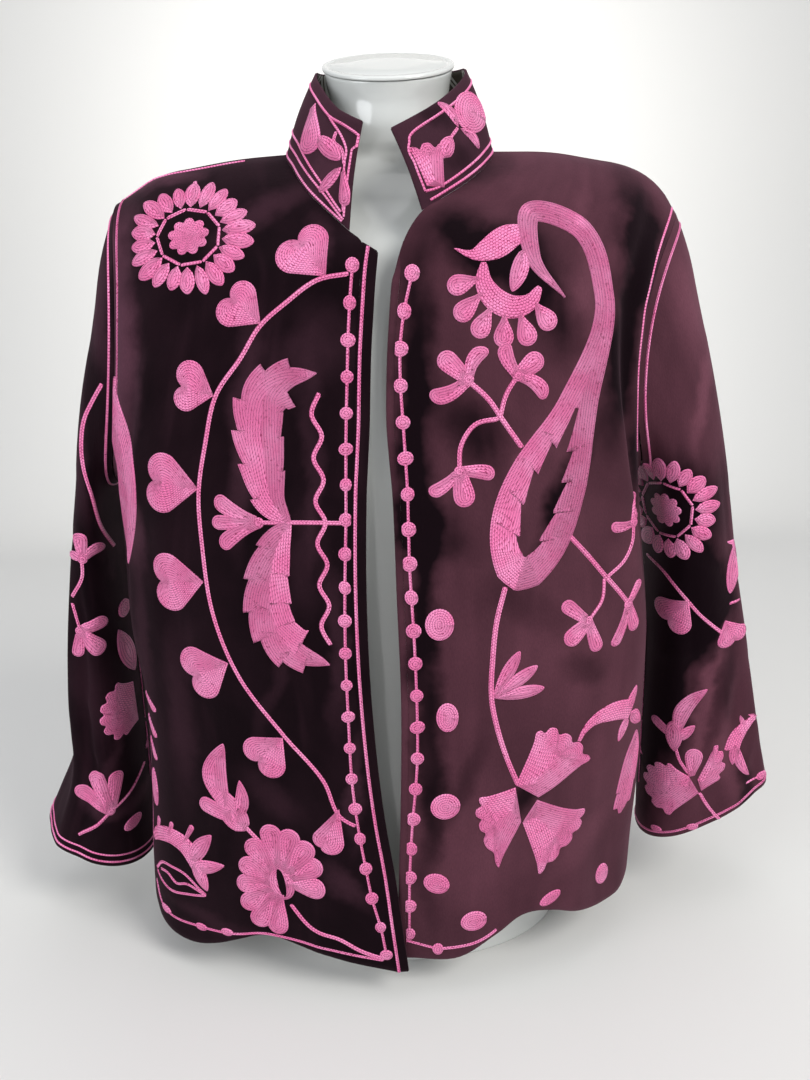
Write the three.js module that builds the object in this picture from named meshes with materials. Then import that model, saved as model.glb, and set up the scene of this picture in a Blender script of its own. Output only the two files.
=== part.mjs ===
// A hip-length velvet jacket with wide sleeves and a stand collar, worn open on a limbless torso form.
// Millimetres. +X is the wearer's left, -Y is the front, +Z is up, and the form stands on Z = 0.
import * as THREE from "three";

const wall = 2.4; // velvet and its lining, sewn together
const seamGap = 0.3; // between two pieces at a seam
const bandWidth = { right: 11, left: 5 }; // turned band down each front edge
const bandWall = 2.8;
const armpitHeight = 450;
const armpitFlare = 5; // how far the side turns out into the underarm seam
const armpitFlareHeight = 26;
const armpitDipWidth = 0.16; // share of a panel's width
const ventHeight = 305; // the side seams are open below this
const ventSpread = 7; // degrees that each side of a vent stands off the seam
const ventFlare = 12; // how far the back panel's edge swings out below the top of the vent
const ventFlareHeight = 200;
const notchShare = 0.55; // share of a front's upper border that is front edge
const tipShare = 0.62; // where that border reaches the collar's tip
const ringSquareness = 2.5; // superellipse exponent of the body's level sections
const sleeveSquareness = 2.2;

const materials = {
  velvet: new THREE.MeshStandardMaterial({ color: 0x2b1122, roughness: 0.85, metalness: 0 }),
  form: new THREE.MeshStandardMaterial({ color: 0xe9efec, roughness: 0.35, metalness: 0 }),
};

// Level sections of the body: half width on each side, and depth in front of and behind the middle.
const bodyRings = [
  { z: 0, right: 266, left: 216, front: 140, back: 124 },
  { z: 75, right: 263, left: 217, front: 139, back: 124 },
  { z: 160, right: 256, left: 223, front: 137, back: 123 },
  { z: 250, right: 253, left: 226, front: 134, back: 121 },
  { z: 330, right: 261, left: 225, front: 131, back: 118 },
  { z: 400, right: 260, left: 218, front: 128, back: 114 },
  { z: 450, right: 256, left: 212, front: 125, back: 110 },
];

// Where each front edge runs: x at each height, and the depth in front of the middle.
const frontEdges = [
  { z: 0, right: -5, left: -12, depth: 140 },
  { z: 70, right: -12, left: -14, depth: 139 },
  { z: 126, right: -18, left: -12, depth: 138 },
  { z: 185, right: -26, left: -9, depth: 136 },
  { z: 278, right: -32, left: -6, depth: 133 },
  { z: 365, right: -33, left: -7, depth: 129 },
  { z: 450, right: -30, left: -8, depth: 123 },
  { z: 501, right: -26, left: -11, depth: 119 },
  { z: 556, right: -23, left: -9, depth: 114 },
  { z: 590, right: -20, left: -6, depth: 110 },
  { z: 640, right: -15, left: 0, depth: 104 },
];

// Hem height across each front, from its band to the side seam, and across the back from its middle.
const hem = [
  { across: 0, right: 30, left: 38, backRight: 30, backLeft: 30 },
  { across: 0.05, right: 34, left: 34, backRight: 30, backLeft: 31 },
  { across: 0.12, right: 43, left: 41, backRight: 30, backLeft: 33 },
  { across: 0.2, right: 49, left: 60, backRight: 31, backLeft: 36 },
  { across: 0.3, right: 54, left: 75, backRight: 33, backLeft: 40 },
  { across: 0.42, right: 41, left: 65, backRight: 36, backLeft: 46 },
  { across: 0.55, right: 31, left: 55, backRight: 37, backLeft: 52 },
  { across: 0.7, right: 36, left: 53, backRight: 39, backLeft: 57 },
  { across: 0.85, right: 42, left: 60, backRight: 43, backLeft: 60 },
  { across: 1, right: 46, left: 62, backRight: 46, backLeft: 62 },
];

// The collar's seam round the neck and its top edge, from the right front tip round the back to the left.
const collarLine = [
  { x: -37, y: -93, z: 651, topX: -24, topY: -90, topZ: 727 },
  { x: -67, y: -70, z: 681, topX: -43, topY: -68, topZ: 742 },
  { x: -83, y: -40, z: 706, topX: -57, topY: -38, topZ: 765 },
  { x: -90, y: -7, z: 724, topX: -64, topY: -4, topZ: 786 },
  { x: -64, y: 50, z: 737, topX: -54, topY: 48, topZ: 799 },
  { x: -4, y: 74, z: 741, topX: -4, topY: 68, topZ: 804 },
  { x: 56, y: 50, z: 736, topX: 46, topY: 48, topZ: 799 },
  { x: 82, y: -7, z: 722, topX: 62, topY: -4, topZ: 786 },
  { x: 76, y: -40, z: 706, topX: 53, topY: -38, topZ: 765 },
  { x: 55, y: -70, z: 686, topX: 30, topY: -68, topZ: 742 },
  { x: 21, y: -93, z: 664, topX: -1, topY: -90, topZ: 722 },
];
const collarShoulderRight = 0.3; // where along the collar line the shoulder seams meet it
const collarShoulderLeft = 0.7;

// The shoulder seam from the collar to the tip of the shoulder, with its height on each side.
const shoulderLine = [
  { along: 0.25, x: 129, y: -9, right: 721, left: 720 },
  { along: 0.5, x: 165, y: -9, right: 716, left: 714 },
  { along: 0.72, x: 199, y: -7, right: 710, left: 707 },
  { along: 0.88, x: 222, y: -4, right: 698, left: 694 },
];

// Sleeve sections from the armhole to the cuff: the point furthest out, the point next to the body,
// the middle and half of the depth, and how far the front and back of the loop bow inwards.
const sleeves = {
  left: [
    { along: 0, outX: 240, outZ: 670, inX: 219, inZ: 450, midY: 2, depth: 72, bow: 32 },
    { along: 0.03, outX: 252, outZ: 643, inX: 227, inZ: 447, midY: 4, depth: 71, bow: 28 },
    { along: 0.07, outX: 262, outZ: 608, inX: 232, inZ: 437, midY: 7, depth: 70, bow: 22 },
    { along: 0.15, outX: 275, outZ: 552, inX: 236, inZ: 410, midY: 12, depth: 70, bow: 12 },
    { along: 0.3, outX: 293, outZ: 455, inX: 239, inZ: 352, midY: 16, depth: 70, bow: 3 },
    { along: 0.5, outX: 310, outZ: 358, inX: 240, inZ: 272, midY: 18, depth: 67, bow: 0 },
    { along: 0.7, outX: 327, outZ: 270, inX: 240, inZ: 194, midY: 18, depth: 61, bow: 0 },
    { along: 0.85, outX: 341, outZ: 200, inX: 239, inZ: 130, midY: 16, depth: 56, bow: 0 },
    { along: 1, outX: 358, outZ: 132, inX: 237, inZ: 66, midY: 10, depth: 50, bow: 0 },
  ],
  right: [
    { along: 0, outX: 236, outZ: 690, inX: 263, inZ: 450, midY: 2, depth: 72, bow: 17 },
    { along: 0.03, outX: 249, outZ: 660, inX: 269, inZ: 447, midY: 4, depth: 71, bow: 14 },
    { along: 0.07, outX: 259, outZ: 622, inX: 274, inZ: 438, midY: 9, depth: 70, bow: 10 },
    { along: 0.15, outX: 276, outZ: 560, inX: 278, inZ: 412, midY: 18, depth: 70, bow: 5 },
    { along: 0.3, outX: 301, outZ: 458, inX: 279, inZ: 352, midY: 30, depth: 72, bow: 0 },
    { along: 0.5, outX: 319, outZ: 356, inX: 279, inZ: 268, midY: 36, depth: 74, bow: 0 },
    { along: 0.7, outX: 333, outZ: 255, inX: 279, inZ: 182, midY: 36, depth: 72, bow: 0 },
    { along: 0.85, outX: 342, outZ: 175, inX: 279, inZ: 116, midY: 32, depth: 68, bow: 0 },
    { along: 1, outX: 379, outZ: 94, inX: 278, inZ: 50, midY: 26, depth: 62, bow: 0 },
  ],
};

// Soft folds down the sleeves: turn round the tube in degrees from the outer side towards the front,
// how far the fold drifts round from top to bottom, its half width in degrees, height and where it runs.
const sleeveFolds = {
  left: [
    { turn: 62, drift: -34, width: 13, height: 9, from: 0.42, to: 1.2 },
    { turn: 20, drift: 16, width: 12, height: 6, from: 0.05, to: 0.75 },
    { turn: 118, drift: -20, width: 16, height: -6, from: 0.25, to: 1.1 },
    { turn: 250, drift: 20, width: 18, height: 7, from: 0.15, to: 1.1 },
    { turn: 310, drift: -16, width: 16, height: -6, from: 0.3, to: 1.2 },
  ],
  right: [
    { turn: 48, drift: 18, width: 14, height: 8, from: 0.3, to: 1.15 },
    { turn: 88, drift: -14, width: 13, height: -7, from: 0.35, to: 1.2 },
    { turn: 12, drift: -10, width: 14, height: 6, from: 0.62, to: 1.3 },
    { turn: 245, drift: 22, width: 18, height: 7, from: 0.15, to: 1.1 },
    { turn: 305, drift: -18, width: 16, height: -6, from: 0.3, to: 1.2 },
  ],
};

// Soft troughs and ridges of the body panels: place across the panel, drift towards the hem, half width
// across, height off the panel, and where they run up it.
const bodyFolds = {
  right: [
    { across: 0.84, drift: -0.05, width: 0.07, height: -5, from: 0.3, to: 1.05 },
    { across: 0.6, drift: 0.08, width: 0.1, height: 4, from: -0.4, to: 0.45 },
    { across: 0.3, drift: -0.06, width: 0.09, height: -3, from: -0.5, to: 0.4 },
  ],
  left: [
    { across: 0.84, drift: -0.06, width: 0.06, height: -7, from: 0.35, to: 1.05 },
    { across: 0.68, drift: 0.04, width: 0.08, height: 4, from: 0.3, to: 1 },
    { across: 0.5, drift: 0.1, width: 0.1, height: -5, from: -0.5, to: 0.35 },
  ],
  back: [
    { across: 0.14, drift: -0.03, width: 0.035, height: -6, from: 0.25, to: 0.98 },
    { across: 0.86, drift: 0.03, width: 0.035, height: -6, from: 0.25, to: 0.98 },
    { across: 0.33, drift: -0.05, width: 0.05, height: 6, from: -0.5, to: 0.7 },
    { across: 0.52, drift: 0.03, width: 0.05, height: -5, from: -0.5, to: 0.6 },
    { across: 0.69, drift: 0.05, width: 0.05, height: 6, from: -0.5, to: 0.65 },
  ],
};

// Level sections of the torso form. tilt is how much each section rises from front to back.
const formRings = [
  { z: 0, half: 150, front: 100, back: 94, tilt: 0 },
  { z: 60, half: 157, front: 105, back: 100, tilt: 0 },
  { z: 160, half: 150, front: 101, back: 92, tilt: 0 },
  { z: 270, half: 136, front: 93, back: 80, tilt: 0 },
  { z: 380, half: 148, front: 99, back: 86, tilt: 0 },
  { z: 480, half: 164, front: 105, back: 92, tilt: 0 },
  { z: 570, half: 174, front: 98, back: 82, tilt: 0 },
  { z: 640, half: 178, front: 76, back: 50, tilt: 0 },
  { z: 680, half: 160, front: 54, back: 30, tilt: 0 },
  { z: 702, half: 126, front: 43, back: 12, tilt: 0 },
  { z: 714, half: 80, front: 41, back: 8, tilt: 0 },
  { z: 726, half: 62, front: 45, back: 32, tilt: 0.04 },
  { z: 742, half: 53, front: 48, back: 50, tilt: 0.14 },
  { z: 766, half: 50, front: 49, back: 48, tilt: 0.3 },
  { z: 790, half: 54, front: 54, back: 51, tilt: 0.48 },
];
const neckCentre = -3;
const neckCapThickness = 4;
const neckCapLip = 1.5;

const clamp01 = (value) => Math.min(1, Math.max(0, value));
const smooth = (value) => clamp01(value) ** 2 * (3 - 2 * clamp01(value));
const mix = (a, b, t) => a + (b - a) * t;
const degrees = (angle) => (angle * Math.PI) / 180;
const signedPower = (value, power) => Math.sign(value) * Math.abs(value) ** power;
const sideSign = { left: 1, right: -1 };

// A smooth curve through one column of a table, read against another column that rises.
function column(rows, key, name) {
  const slope = rows.map((row, i) => {
    const before = rows[Math.max(0, i - 1)];
    const after = rows[Math.min(rows.length - 1, i + 1)];
    return (after[name] - before[name]) / (after[key] - before[key]);
  });
  return (at) => {
    const value = Math.min(rows.at(-1)[key], Math.max(rows[0][key], at));
    let i = 0;
    while (i < rows.length - 2 && value > rows[i + 1][key]) i += 1;
    const span = rows[i + 1][key] - rows[i][key];
    const t = (value - rows[i][key]) / span;
    const [t2, t3] = [t * t, t * t * t];
    return (
      (2 * t3 - 3 * t2 + 1) * rows[i][name] +
      (t3 - 2 * t2 + t) * span * slope[i] +
      (3 * t2 - 2 * t3) * rows[i + 1][name] +
      (t3 - t2) * span * slope[i + 1]
    );
  };
}

const columns = (rows, key, names) =>
  Object.fromEntries(names.map((name) => [name, column(rows, key, name)]));

const body = columns(bodyRings, "z", ["right", "left", "front", "back"]);
const frontEdge = columns(frontEdges, "z", ["right", "left", "depth"]);
const hemLine = columns(hem, "across", ["right", "left", "backRight", "backLeft"]);
const collarRows = collarLine.map((row, i) => ({ ...row, along: i / (collarLine.length - 1) }));
const collarCurve = columns(collarRows, "along", ["x", "y", "z", "topX", "topY", "topZ"]);

const neckSeam = (along) =>
  new THREE.Vector3(collarCurve.x(along), collarCurve.y(along), collarCurve.z(along));

const collarTop = (along) =>
  new THREE.Vector3(collarCurve.topX(along), collarCurve.topY(along), collarCurve.topZ(along));

// One loop of a sleeve. turn is 0 at the outer side, a quarter at the front and a half next to the body.
const sleeveColumns = {};
for (const side of ["left", "right"]) {
  sleeveColumns[side] = columns(sleeves[side], "along", ["outX", "outZ", "inX", "inZ", "midY", "depth", "bow"]);
}

function sleevePoint(side, turn, along) {
  const c = sleeveColumns[side];
  const outwards = signedPower(Math.cos(turn), 2 / sleeveSquareness);
  const forwards = signedPower(Math.sin(turn), 2 / sleeveSquareness);
  const [outX, inX, outZ, inZ] = [c.outX(along), c.inX(along), c.outZ(along), c.inZ(along)];
  const x = mix(inX, outX, (1 + outwards) / 2) - c.bow(along) * Math.sin(turn) ** 2;
  const z = mix(inZ, outZ, (1 + outwards) / 2);
  return new THREE.Vector3(sideSign[side] * x, c.midY(along) - c.depth(along) * forwards, z);
}

function shoulderSeam(side, along) {
  const start = neckSeam(side === "right" ? collarShoulderRight : collarShoulderLeft);
  const end = sleevePoint(side, 0, 0);
  const sign = sideSign[side];
  const rows = [
    { along: 0, x: sign * start.x, y: start.y, [side]: start.z },
    ...shoulderLine,
    { along: 1, x: sign * end.x, y: end.y, [side]: end.z },
  ];
  const line = columns(rows, "along", ["x", "y", side]);
  return new THREE.Vector3(sign * line.x(along), line.y(along), line[side](along));
}

// A point of the body below the armpit. angle is 0 at the middle of the front and a quarter turn at the
// side seam of the named side; past that it is on the back.
function bodyPoint(side, angle, z) {
  const power = 2 / ringSquareness;
  const depth = Math.cos(angle) > 0 ? body.front(z) : body.back(z);
  const x = body[side](z) * signedPower(Math.sin(angle), power);
  return new THREE.Vector3(sideSign[side] * x, -depth * signedPower(Math.cos(angle), power), z);
}

// How far the side of the body turns out into the underarm seam, as a share of armpitFlare.
function underarmTurn(z) {
  const rise = clamp01((z - armpitHeight + armpitFlareHeight) / armpitFlareHeight);
  return 1 - Math.sqrt(1 - rise * rise);
}

const ventShare = (z) => smooth((ventHeight - z) / 90);

// The direction out of the body at a side seam.
function sideDirection(side, z) {
  const rise = clamp01((z - armpitHeight + armpitFlareHeight) / armpitFlareHeight);
  const slope = (armpitFlare / armpitFlareHeight) * (rise / Math.sqrt(Math.max(1e-4, 1 - rise * rise)));
  return new THREE.Vector3(sideSign[side], 0, -slope).normalize();
}

// The row through the armpit dips away from it on both sides, so that rows meet the armhole squarely.
const armpitDip = (away) => 50 * Math.sin((Math.PI / 2) * clamp01(away)) * smooth(2 - 2 * away * armpitDipWidth);

// Height of a row of the lower body: half of the rows are beside the vent.
const rowHeight = (bottom, v, top = armpitHeight) =>
  v < 0.5 ? mix(bottom, ventHeight, 2 * v) : mix(ventHeight, top, 2 * v - 1);

// The seam between a front and its band, from the hem to the notch below the collar.
function bandSeam(side, z, inset = bandWidth[side]) {
  const power = 2 / ringSquareness;
  const x = frontEdge[side](z) + sideSign[side] * inset;
  if (z > armpitHeight) return new THREE.Vector3(x, -frontEdge.depth(z) + 0.02 * Math.abs(x), z);
  const across = signedPower((sideSign[side] * x) / body[side](z), 1 / power);
  return bodyPoint(side, Math.asin(across), z);
}

// The lower end of the right front lies over the left one.
const overlap = (z) => 7 * (1 - smooth((z - 60) / 110));

function frontLower(side, u, v) {
  const z = rowHeight(hemLine[side](u), v, armpitHeight - armpitDip((1 - u) / armpitDipWidth));
  const power = 2 / ringSquareness;
  const seam = frontEdge[side](z) + sideSign[side] * bandWidth[side];
  const start = Math.asin(signedPower((sideSign[side] * seam) / body[side](z), 1 / power));
  const end = degrees(90 - ventSpread * ventShare(z));
  const point = bodyPoint(side, mix(start, end, u), z);
  point.x += sideSign[side] * armpitFlare * underarmTurn(z) * u ** 10;
  if (side === "right") point.y -= overlap(z) * (1 - smooth(u / 0.3));
  return point;
}

function frontBorder(side, w) {
  const edgeTop = frontEdges.at(-1).z;
  const collarTip = neckSeam(side === "right" ? 0 : 1);
  if (w <= notchShare) return bandSeam(side, mix(armpitHeight, edgeTop, w / notchShare));
  if (w < tipShare) return bandSeam(side, edgeTop).lerp(collarTip, (w - notchShare) / (tipShare - notchShare));
  const share = (w - tipShare) / (1 - tipShare);
  return neckSeam(side === "right" ? share * collarShoulderRight : mix(1, collarShoulderLeft, share));
}

// A sheet bounded by four curves that meet at their ends. The bulge of its left and right borders dies
// away across it, faster the larger the fall, and its depth keeps the bottom's longer the larger the arch.
function coons(bottom, top, left, right, { fall, arch }, u, w) {
  const between = (low, high) => {
    const point = low.clone().lerp(high, w);
    point.y = mix(low.y, high.y, w ** arch);
    return point;
  };
  const bulge = (border) => border(w).sub(between(border(0), border(1)));
  return between(bottom(u), top(u))
    .addScaledVector(bulge(left), (1 - u) ** fall)
    .addScaledVector(bulge(right), u ** fall);
}

function frontUpper(side, u, w) {
  return coons(
    (at) => frontLower(side, at, 1),
    (at) => shoulderSeam(side, at),
    (at) => frontBorder(side, at),
    (at) => sleevePoint(side, Math.PI * (1 - at), 0),
    { fall: 1, arch: 1 },
    u,
    w,
  );
}

function backLower(u, v) {
  const side = u < 0.5 ? "right" : "left";
  const fromSide = Math.abs(2 * u - 1); // 0 at the middle of the back, 1 at the side seam
  const top = armpitHeight - armpitDip((1 - fromSide) / armpitDipWidth);
  const z = rowHeight(hemLine[side === "right" ? "backRight" : "backLeft"](fromSide), v, top);
  const vent = ventShare(z);
  const point = bodyPoint(side, degrees(mix(180, 90 + ventSpread * vent * 0.6, fromSide)), z);
  const swing = ventFlare * Math.sin(Math.PI * clamp01((ventHeight - z) / ventFlareHeight));
  const flare = armpitFlare * underarmTurn(z) * fromSide ** 10 + swing * fromSide ** 6;
  point.x += sideSign[side] * flare;
  return point;
}

const backShoulderShare = 0.3; // of the top of the back, on each side of the neck
const neckShare = (u) =>
  mix(collarShoulderRight, collarShoulderLeft, (u - backShoulderShare) / (1 - 2 * backShoulderShare));

function backTop(u) {
  if (u < backShoulderShare) return shoulderSeam("right", 1 - u / backShoulderShare);
  if (u > 1 - backShoulderShare) return shoulderSeam("left", (u - 1 + backShoulderShare) / backShoulderShare);
  return neckSeam(neckShare(u));
}

function backUpper(u, w) {
  return coons(
    (at) => backLower(at, 1),
    backTop,
    (at) => sleevePoint("right", Math.PI * (1 + at), 0),
    (at) => sleevePoint("left", Math.PI * (1 + at), 0),
    { fall: 4, arch: 3.2 },
    u,
    w,
  );
}

// The height of the folds at a place that runs from 0 to 1 across and up a panel.
function foldHeight(folds, across, up) {
  let height = 0;
  for (const fold of folds) {
    const centre = fold.across + fold.drift * (1 - up);
    const run = clamp01((up - fold.from) / (fold.to - fold.from));
    height += fold.height * Math.exp(-(((across - centre) / fold.width) ** 2)) * Math.sin(Math.PI * run) ** 1.5;
  }
  return height;
}

function sleeveFoldHeight(side, turn, along) {
  let height = 0;
  for (const fold of sleeveFolds[side]) {
    const centre = fold.turn + fold.drift * along;
    const away = ((((turn * 180) / Math.PI - centre + 540) % 360) + 360) % 360 - 180;
    const run = clamp01((along - fold.from) / (fold.to - fold.from));
    height += fold.height * Math.exp(-((away / fold.width) ** 2)) * Math.sin(Math.PI * run) ** 1.2;
  }
  return height;
}

// A grid of points, rows by columns, from a function of the two places.
const gridOf = (across, up, point) => up.map((v) => across.map((u) => point(u, v)));

const evenly = (count, from = 0, to = 1) =>
  Array.from({ length: count + 1 }, (unused, i) => mix(from, to, i / count));

// The direction off the sheet at each point of a grid, out of the side that the grid's turn faces.
function gridNormals(grid, closed) {
  const last = grid.length - 1;
  const width = grid[0].length;
  return grid.map((row, j) =>
    row.map((unused, i) => {
      const before = closed ? (i + width - 1) % width : Math.max(0, i - 1);
      const after = closed ? (i + 1) % width : Math.min(width - 1, i + 1);
      const along = row[after].clone().sub(row[before]);
      const up = grid[Math.min(last, j + 1)][i].clone().sub(grid[Math.max(0, j - 1)][i]);
      return along.cross(up).normalize();
    }),
  );
}

const shifted = (grid, directions, height) =>
  grid.map((row, j) => row.map((point, i) => point.clone().addScaledVector(directions[j][i], height(i, j))));

// Draws a sheet's border in by half of a seam's gap, so that its neighbour has the other half.
function drawnIn(grid, edges) {
  const made = grid.map((row) => row.map((point) => point.clone()));
  const last = grid.length - 1;
  const end = grid[0].length - 1;
  const pull = (point, towards) =>
    point.addScaledVector(towards.clone().sub(point).normalize(), seamGap / 2);
  for (let j = 0; j <= last; j += 1) {
    if (edges.start) pull(made[j][0], grid[j][1]);
    if (edges.end) pull(made[j][end], grid[j][end - 1]);
  }
  for (let i = 0; i <= end; i += 1) {
    if (edges.bottom) pull(made[0][i], grid[1][i]);
    if (edges.top) pull(made[last][i], grid[last - 1][i]);
  }
  return made;
}

// A closed wall between two grids of the same size: their faces and a strip round each free border.
function wallBetween(outer, inner, closed) {
  const rows = outer.length;
  const width = outer[0].length;
  const positions = [];
  for (const grid of [outer, inner]) for (const row of grid) for (const p of row) positions.push(p.x, p.y, p.z);
  const at = (layer, j, i) => layer * rows * width + j * width + (i % width);
  const faces = [];
  const quad = (a, b, c, d) => faces.push(a, b, c, a, c, d);
  const heightOf = (index) => positions[3 * index + 2];
  // A strip across the wall is split towards its higher end, as the piece on the seam's other side is.
  const strip = (a, b, c, d) => (heightOf(c) >= heightOf(d) ? quad(a, b, c, d) : quad(b, c, d, a));
  const steps = closed ? width : width - 1;
  for (let j = 0; j < rows - 1; j += 1) {
    for (let i = 0; i < steps; i += 1) {
      quad(at(0, j, i), at(0, j, i + 1), at(0, j + 1, i + 1), at(0, j + 1, i));
      quad(at(1, j, i), at(1, j + 1, i), at(1, j + 1, i + 1), at(1, j, i + 1));
    }
  }
  for (let i = 0; i < steps; i += 1) {
    strip(at(1, 0, i), at(1, 0, i + 1), at(0, 0, i + 1), at(0, 0, i));
    strip(at(1, rows - 1, i + 1), at(1, rows - 1, i), at(0, rows - 1, i), at(0, rows - 1, i + 1));
  }
  for (let j = 0; j < rows - 1 && !closed; j += 1) {
    strip(at(1, j + 1, 0), at(1, j, 0), at(0, j, 0), at(0, j + 1, 0));
    strip(at(1, j, width - 1), at(1, j + 1, width - 1), at(0, j + 1, width - 1), at(0, j, width - 1));
  }
  return facingOut(positions, faces);
}

// A geometry whose faces point out, whichever way its grid was turned.
function facingOut(positions, faces) {
  const corner = (index) => new THREE.Vector3().fromArray(positions, 3 * index);
  let volume = 0;
  for (let i = 0; i < faces.length; i += 3) {
    volume += corner(faces[i]).dot(corner(faces[i + 1]).cross(corner(faces[i + 2])));
  }
  if (volume < 0) {
    for (let i = 0; i < faces.length; i += 3) [faces[i + 1], faces[i + 2]] = [faces[i + 2], faces[i + 1]];
  }
  const geometry = new THREE.BufferGeometry();
  geometry.setAttribute("position", new THREE.Float32BufferAttribute(positions, 3));
  geometry.setIndex(faces);
  return geometry;
}

const group = new THREE.Group();

function add(name, geometry, material) {
  const mesh = new THREE.Mesh(geometry, material);
  mesh.name = name;
  group.add(mesh);
}

// Blends each point's own direction into the seam's at the grid's border, so that two pieces meet squarely.
function withSeamDirection(directions, share, seamDirection) {
  return directions.map((row, j) =>
    row.map((direction, i) => {
      const weight = share(i, j);
      if (weight <= 0) return direction;
      return direction.clone().multiplyScalar(1 - weight).addScaledVector(seamDirection(i, j), weight).normalize();
    }),
  );
}

const shoulderDirection = (side, along) => {
  const before = shoulderSeam(side, Math.max(0, along - 0.03));
  const after = shoulderSeam(side, Math.min(1, along + 0.03));
  const line = after.sub(before);
  return new THREE.Vector3(-sideSign[side] * line.z, 0, sideSign[side] * line.x).normalize();
};

function neckDirection(along) {
  const step = 0.02;
  const line = neckSeam(Math.min(1, along + step)).sub(neckSeam(Math.max(0, along - step)));
  const flat = new THREE.Vector3(-line.y, line.x, 0).normalize();
  const outwards = neckSeam(along).sub(new THREE.Vector3(neckCentre, 0, 0)).setZ(0);
  if (flat.dot(outwards) < 0) flat.negate();
  return flat.addScaledVector(new THREE.Vector3(0, 0, 1), 0.6).normalize();
}

// Rows and columns of the panels. Two panels that share a seam have the same places along it.
const lowerPlaces = [...evenly(6, 0, 0.5), ...evenly(6, 0.5, 0.95).slice(1), 0.97, 0.985, 1];
const frontPlaces = [...evenly(7, 0, notchShare), ...evenly(6, tipShare, 1)].slice(1);
const backPlaces = evenly(12).slice(1);
const frontAcross = [...evenly(10, 0, 0.92), 0.97, 1];
const neckAcross = evenly(7, backShoulderShare, 1 - backShoulderShare).slice(1, -1);
const sideAcross = frontAcross.map((u) => backShoulderShare * (1 - u)).reverse();
const backAcross = [...sideAcross, ...neckAcross, ...sideAcross.map((u) => 1 - u).reverse()];
const armholeTurns = [
  ...[0, ...frontPlaces].map((w) => Math.PI * (1 - w)).reverse(),
  ...backPlaces.slice(0, -1).map((w) => Math.PI * (1 + w)),
];
const frontNeck = frontPlaces.filter((w) => w >= tipShare).map((w) => (w - tipShare) / (1 - tipShare));
const collarAcross = [
  ...frontNeck.map((share) => share * collarShoulderRight),
  ...neckAcross.map((u) => neckShare(u)),
  ...frontNeck.map((share) => mix(1, collarShoulderLeft, share)).reverse(),
];

// Lets the rows each side of the armpit settle between their neighbours, as hanging cloth does.
function settled(sheet, armpitRow) {
  const reach = 7;
  let made = sheet;
  for (let pass = 0; pass < 14; pass += 1) {
    made = made.map((row, j) => {
      const weight = 0.6 * smooth(1 - Math.abs(j - armpitRow) / reach);
      if (weight <= 0 || j === 0 || j === sheet.length - 1) return row;
      return row.map((point, i) => {
        if (i === 0 || i === row.length - 1) return point;
        const middle = made[j - 1][i].clone().lerp(made[j + 1][i], 0.5);
        return point.clone().lerp(middle, weight * smooth(Math.min(i, row.length - 1 - i) / 2));
      });
    });
  }
  return made;
}

const bandDirection = (side, z) => {
  const step = bandSeam(side, z + 3).sub(bandSeam(side, z - 3));
  return new THREE.Vector3(0, -step.z, step.y).normalize();
};

const frontHeight = (side, j) =>
  j < lowerPlaces.length
    ? rowHeight(hemLine[side](0), lowerPlaces[j])
    : mix(armpitHeight, frontEdges.at(-1).z, frontPlaces[j - lowerPlaces.length] / notchShare);

const armpitRow = lowerPlaces.length - 1;
const flipped = (normals) => normals.map((row) => row.map((n) => n.negate()));

function frontSheet(side) {
  const grid = settled(
    [
      ...gridOf(frontAcross, lowerPlaces, (u, v) => frontLower(side, u, v)),
      ...gridOf(frontAcross, frontPlaces, (u, w) => frontUpper(side, u, w)),
    ],
    armpitRow,
  );
  const normals = gridNormals(grid);
  return { grid, normals: side === "right" ? flipped(normals) : normals };
}

function backSheet() {
  const rows = [...gridOf(backAcross, lowerPlaces, backLower), ...gridOf(backAcross, backPlaces, backUpper)];
  const grid = settled(rows, armpitRow);
  return { grid, normals: flipped(gridNormals(grid)) };
}

const sleeveAlong = [0, 0.015, 0.035, 0.07, ...evenly(15, 0.125, 1)];

function sleeveSheet(side) {
  const grid = gridOf(armholeTurns, sleeveAlong, (turn, at) => sleevePoint(side, turn, at));
  const normals = gridNormals(grid, true);
  return { grid, normals: normals[8][0].x * sideSign[side] < 0 ? flipped(normals) : normals };
}

const backs = backSheet();
const fronts = { right: frontSheet("right"), left: frontSheet("left") };
const tubes = { right: sleeveSheet("right"), left: sleeveSheet("left") };
const frontTurns = frontPlaces.length; // places of the armhole from its top down the front to the armpit

// The direction across the wall at each place of an armhole: half way between the body's and the sleeve's.
function armholeSeam(side) {
  return armholeTurns.map((unused, k) => {
    let own = shoulderDirection(side, 1);
    if (k === frontTurns) own = sideDirection(side, armpitHeight);
    else if (k > frontTurns) own = backs.normals[armpitRow + k - frontTurns][side === "right" ? 0 : backAcross.length - 1];
    else if (k > 0) own = fronts[side].normals[armpitRow + frontTurns - k].at(-1);
    return own.clone().add(tubes[side].normals[0][k]).normalize();
  });
}

const armholes = { right: armholeSeam("right"), left: armholeSeam("left") };

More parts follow.
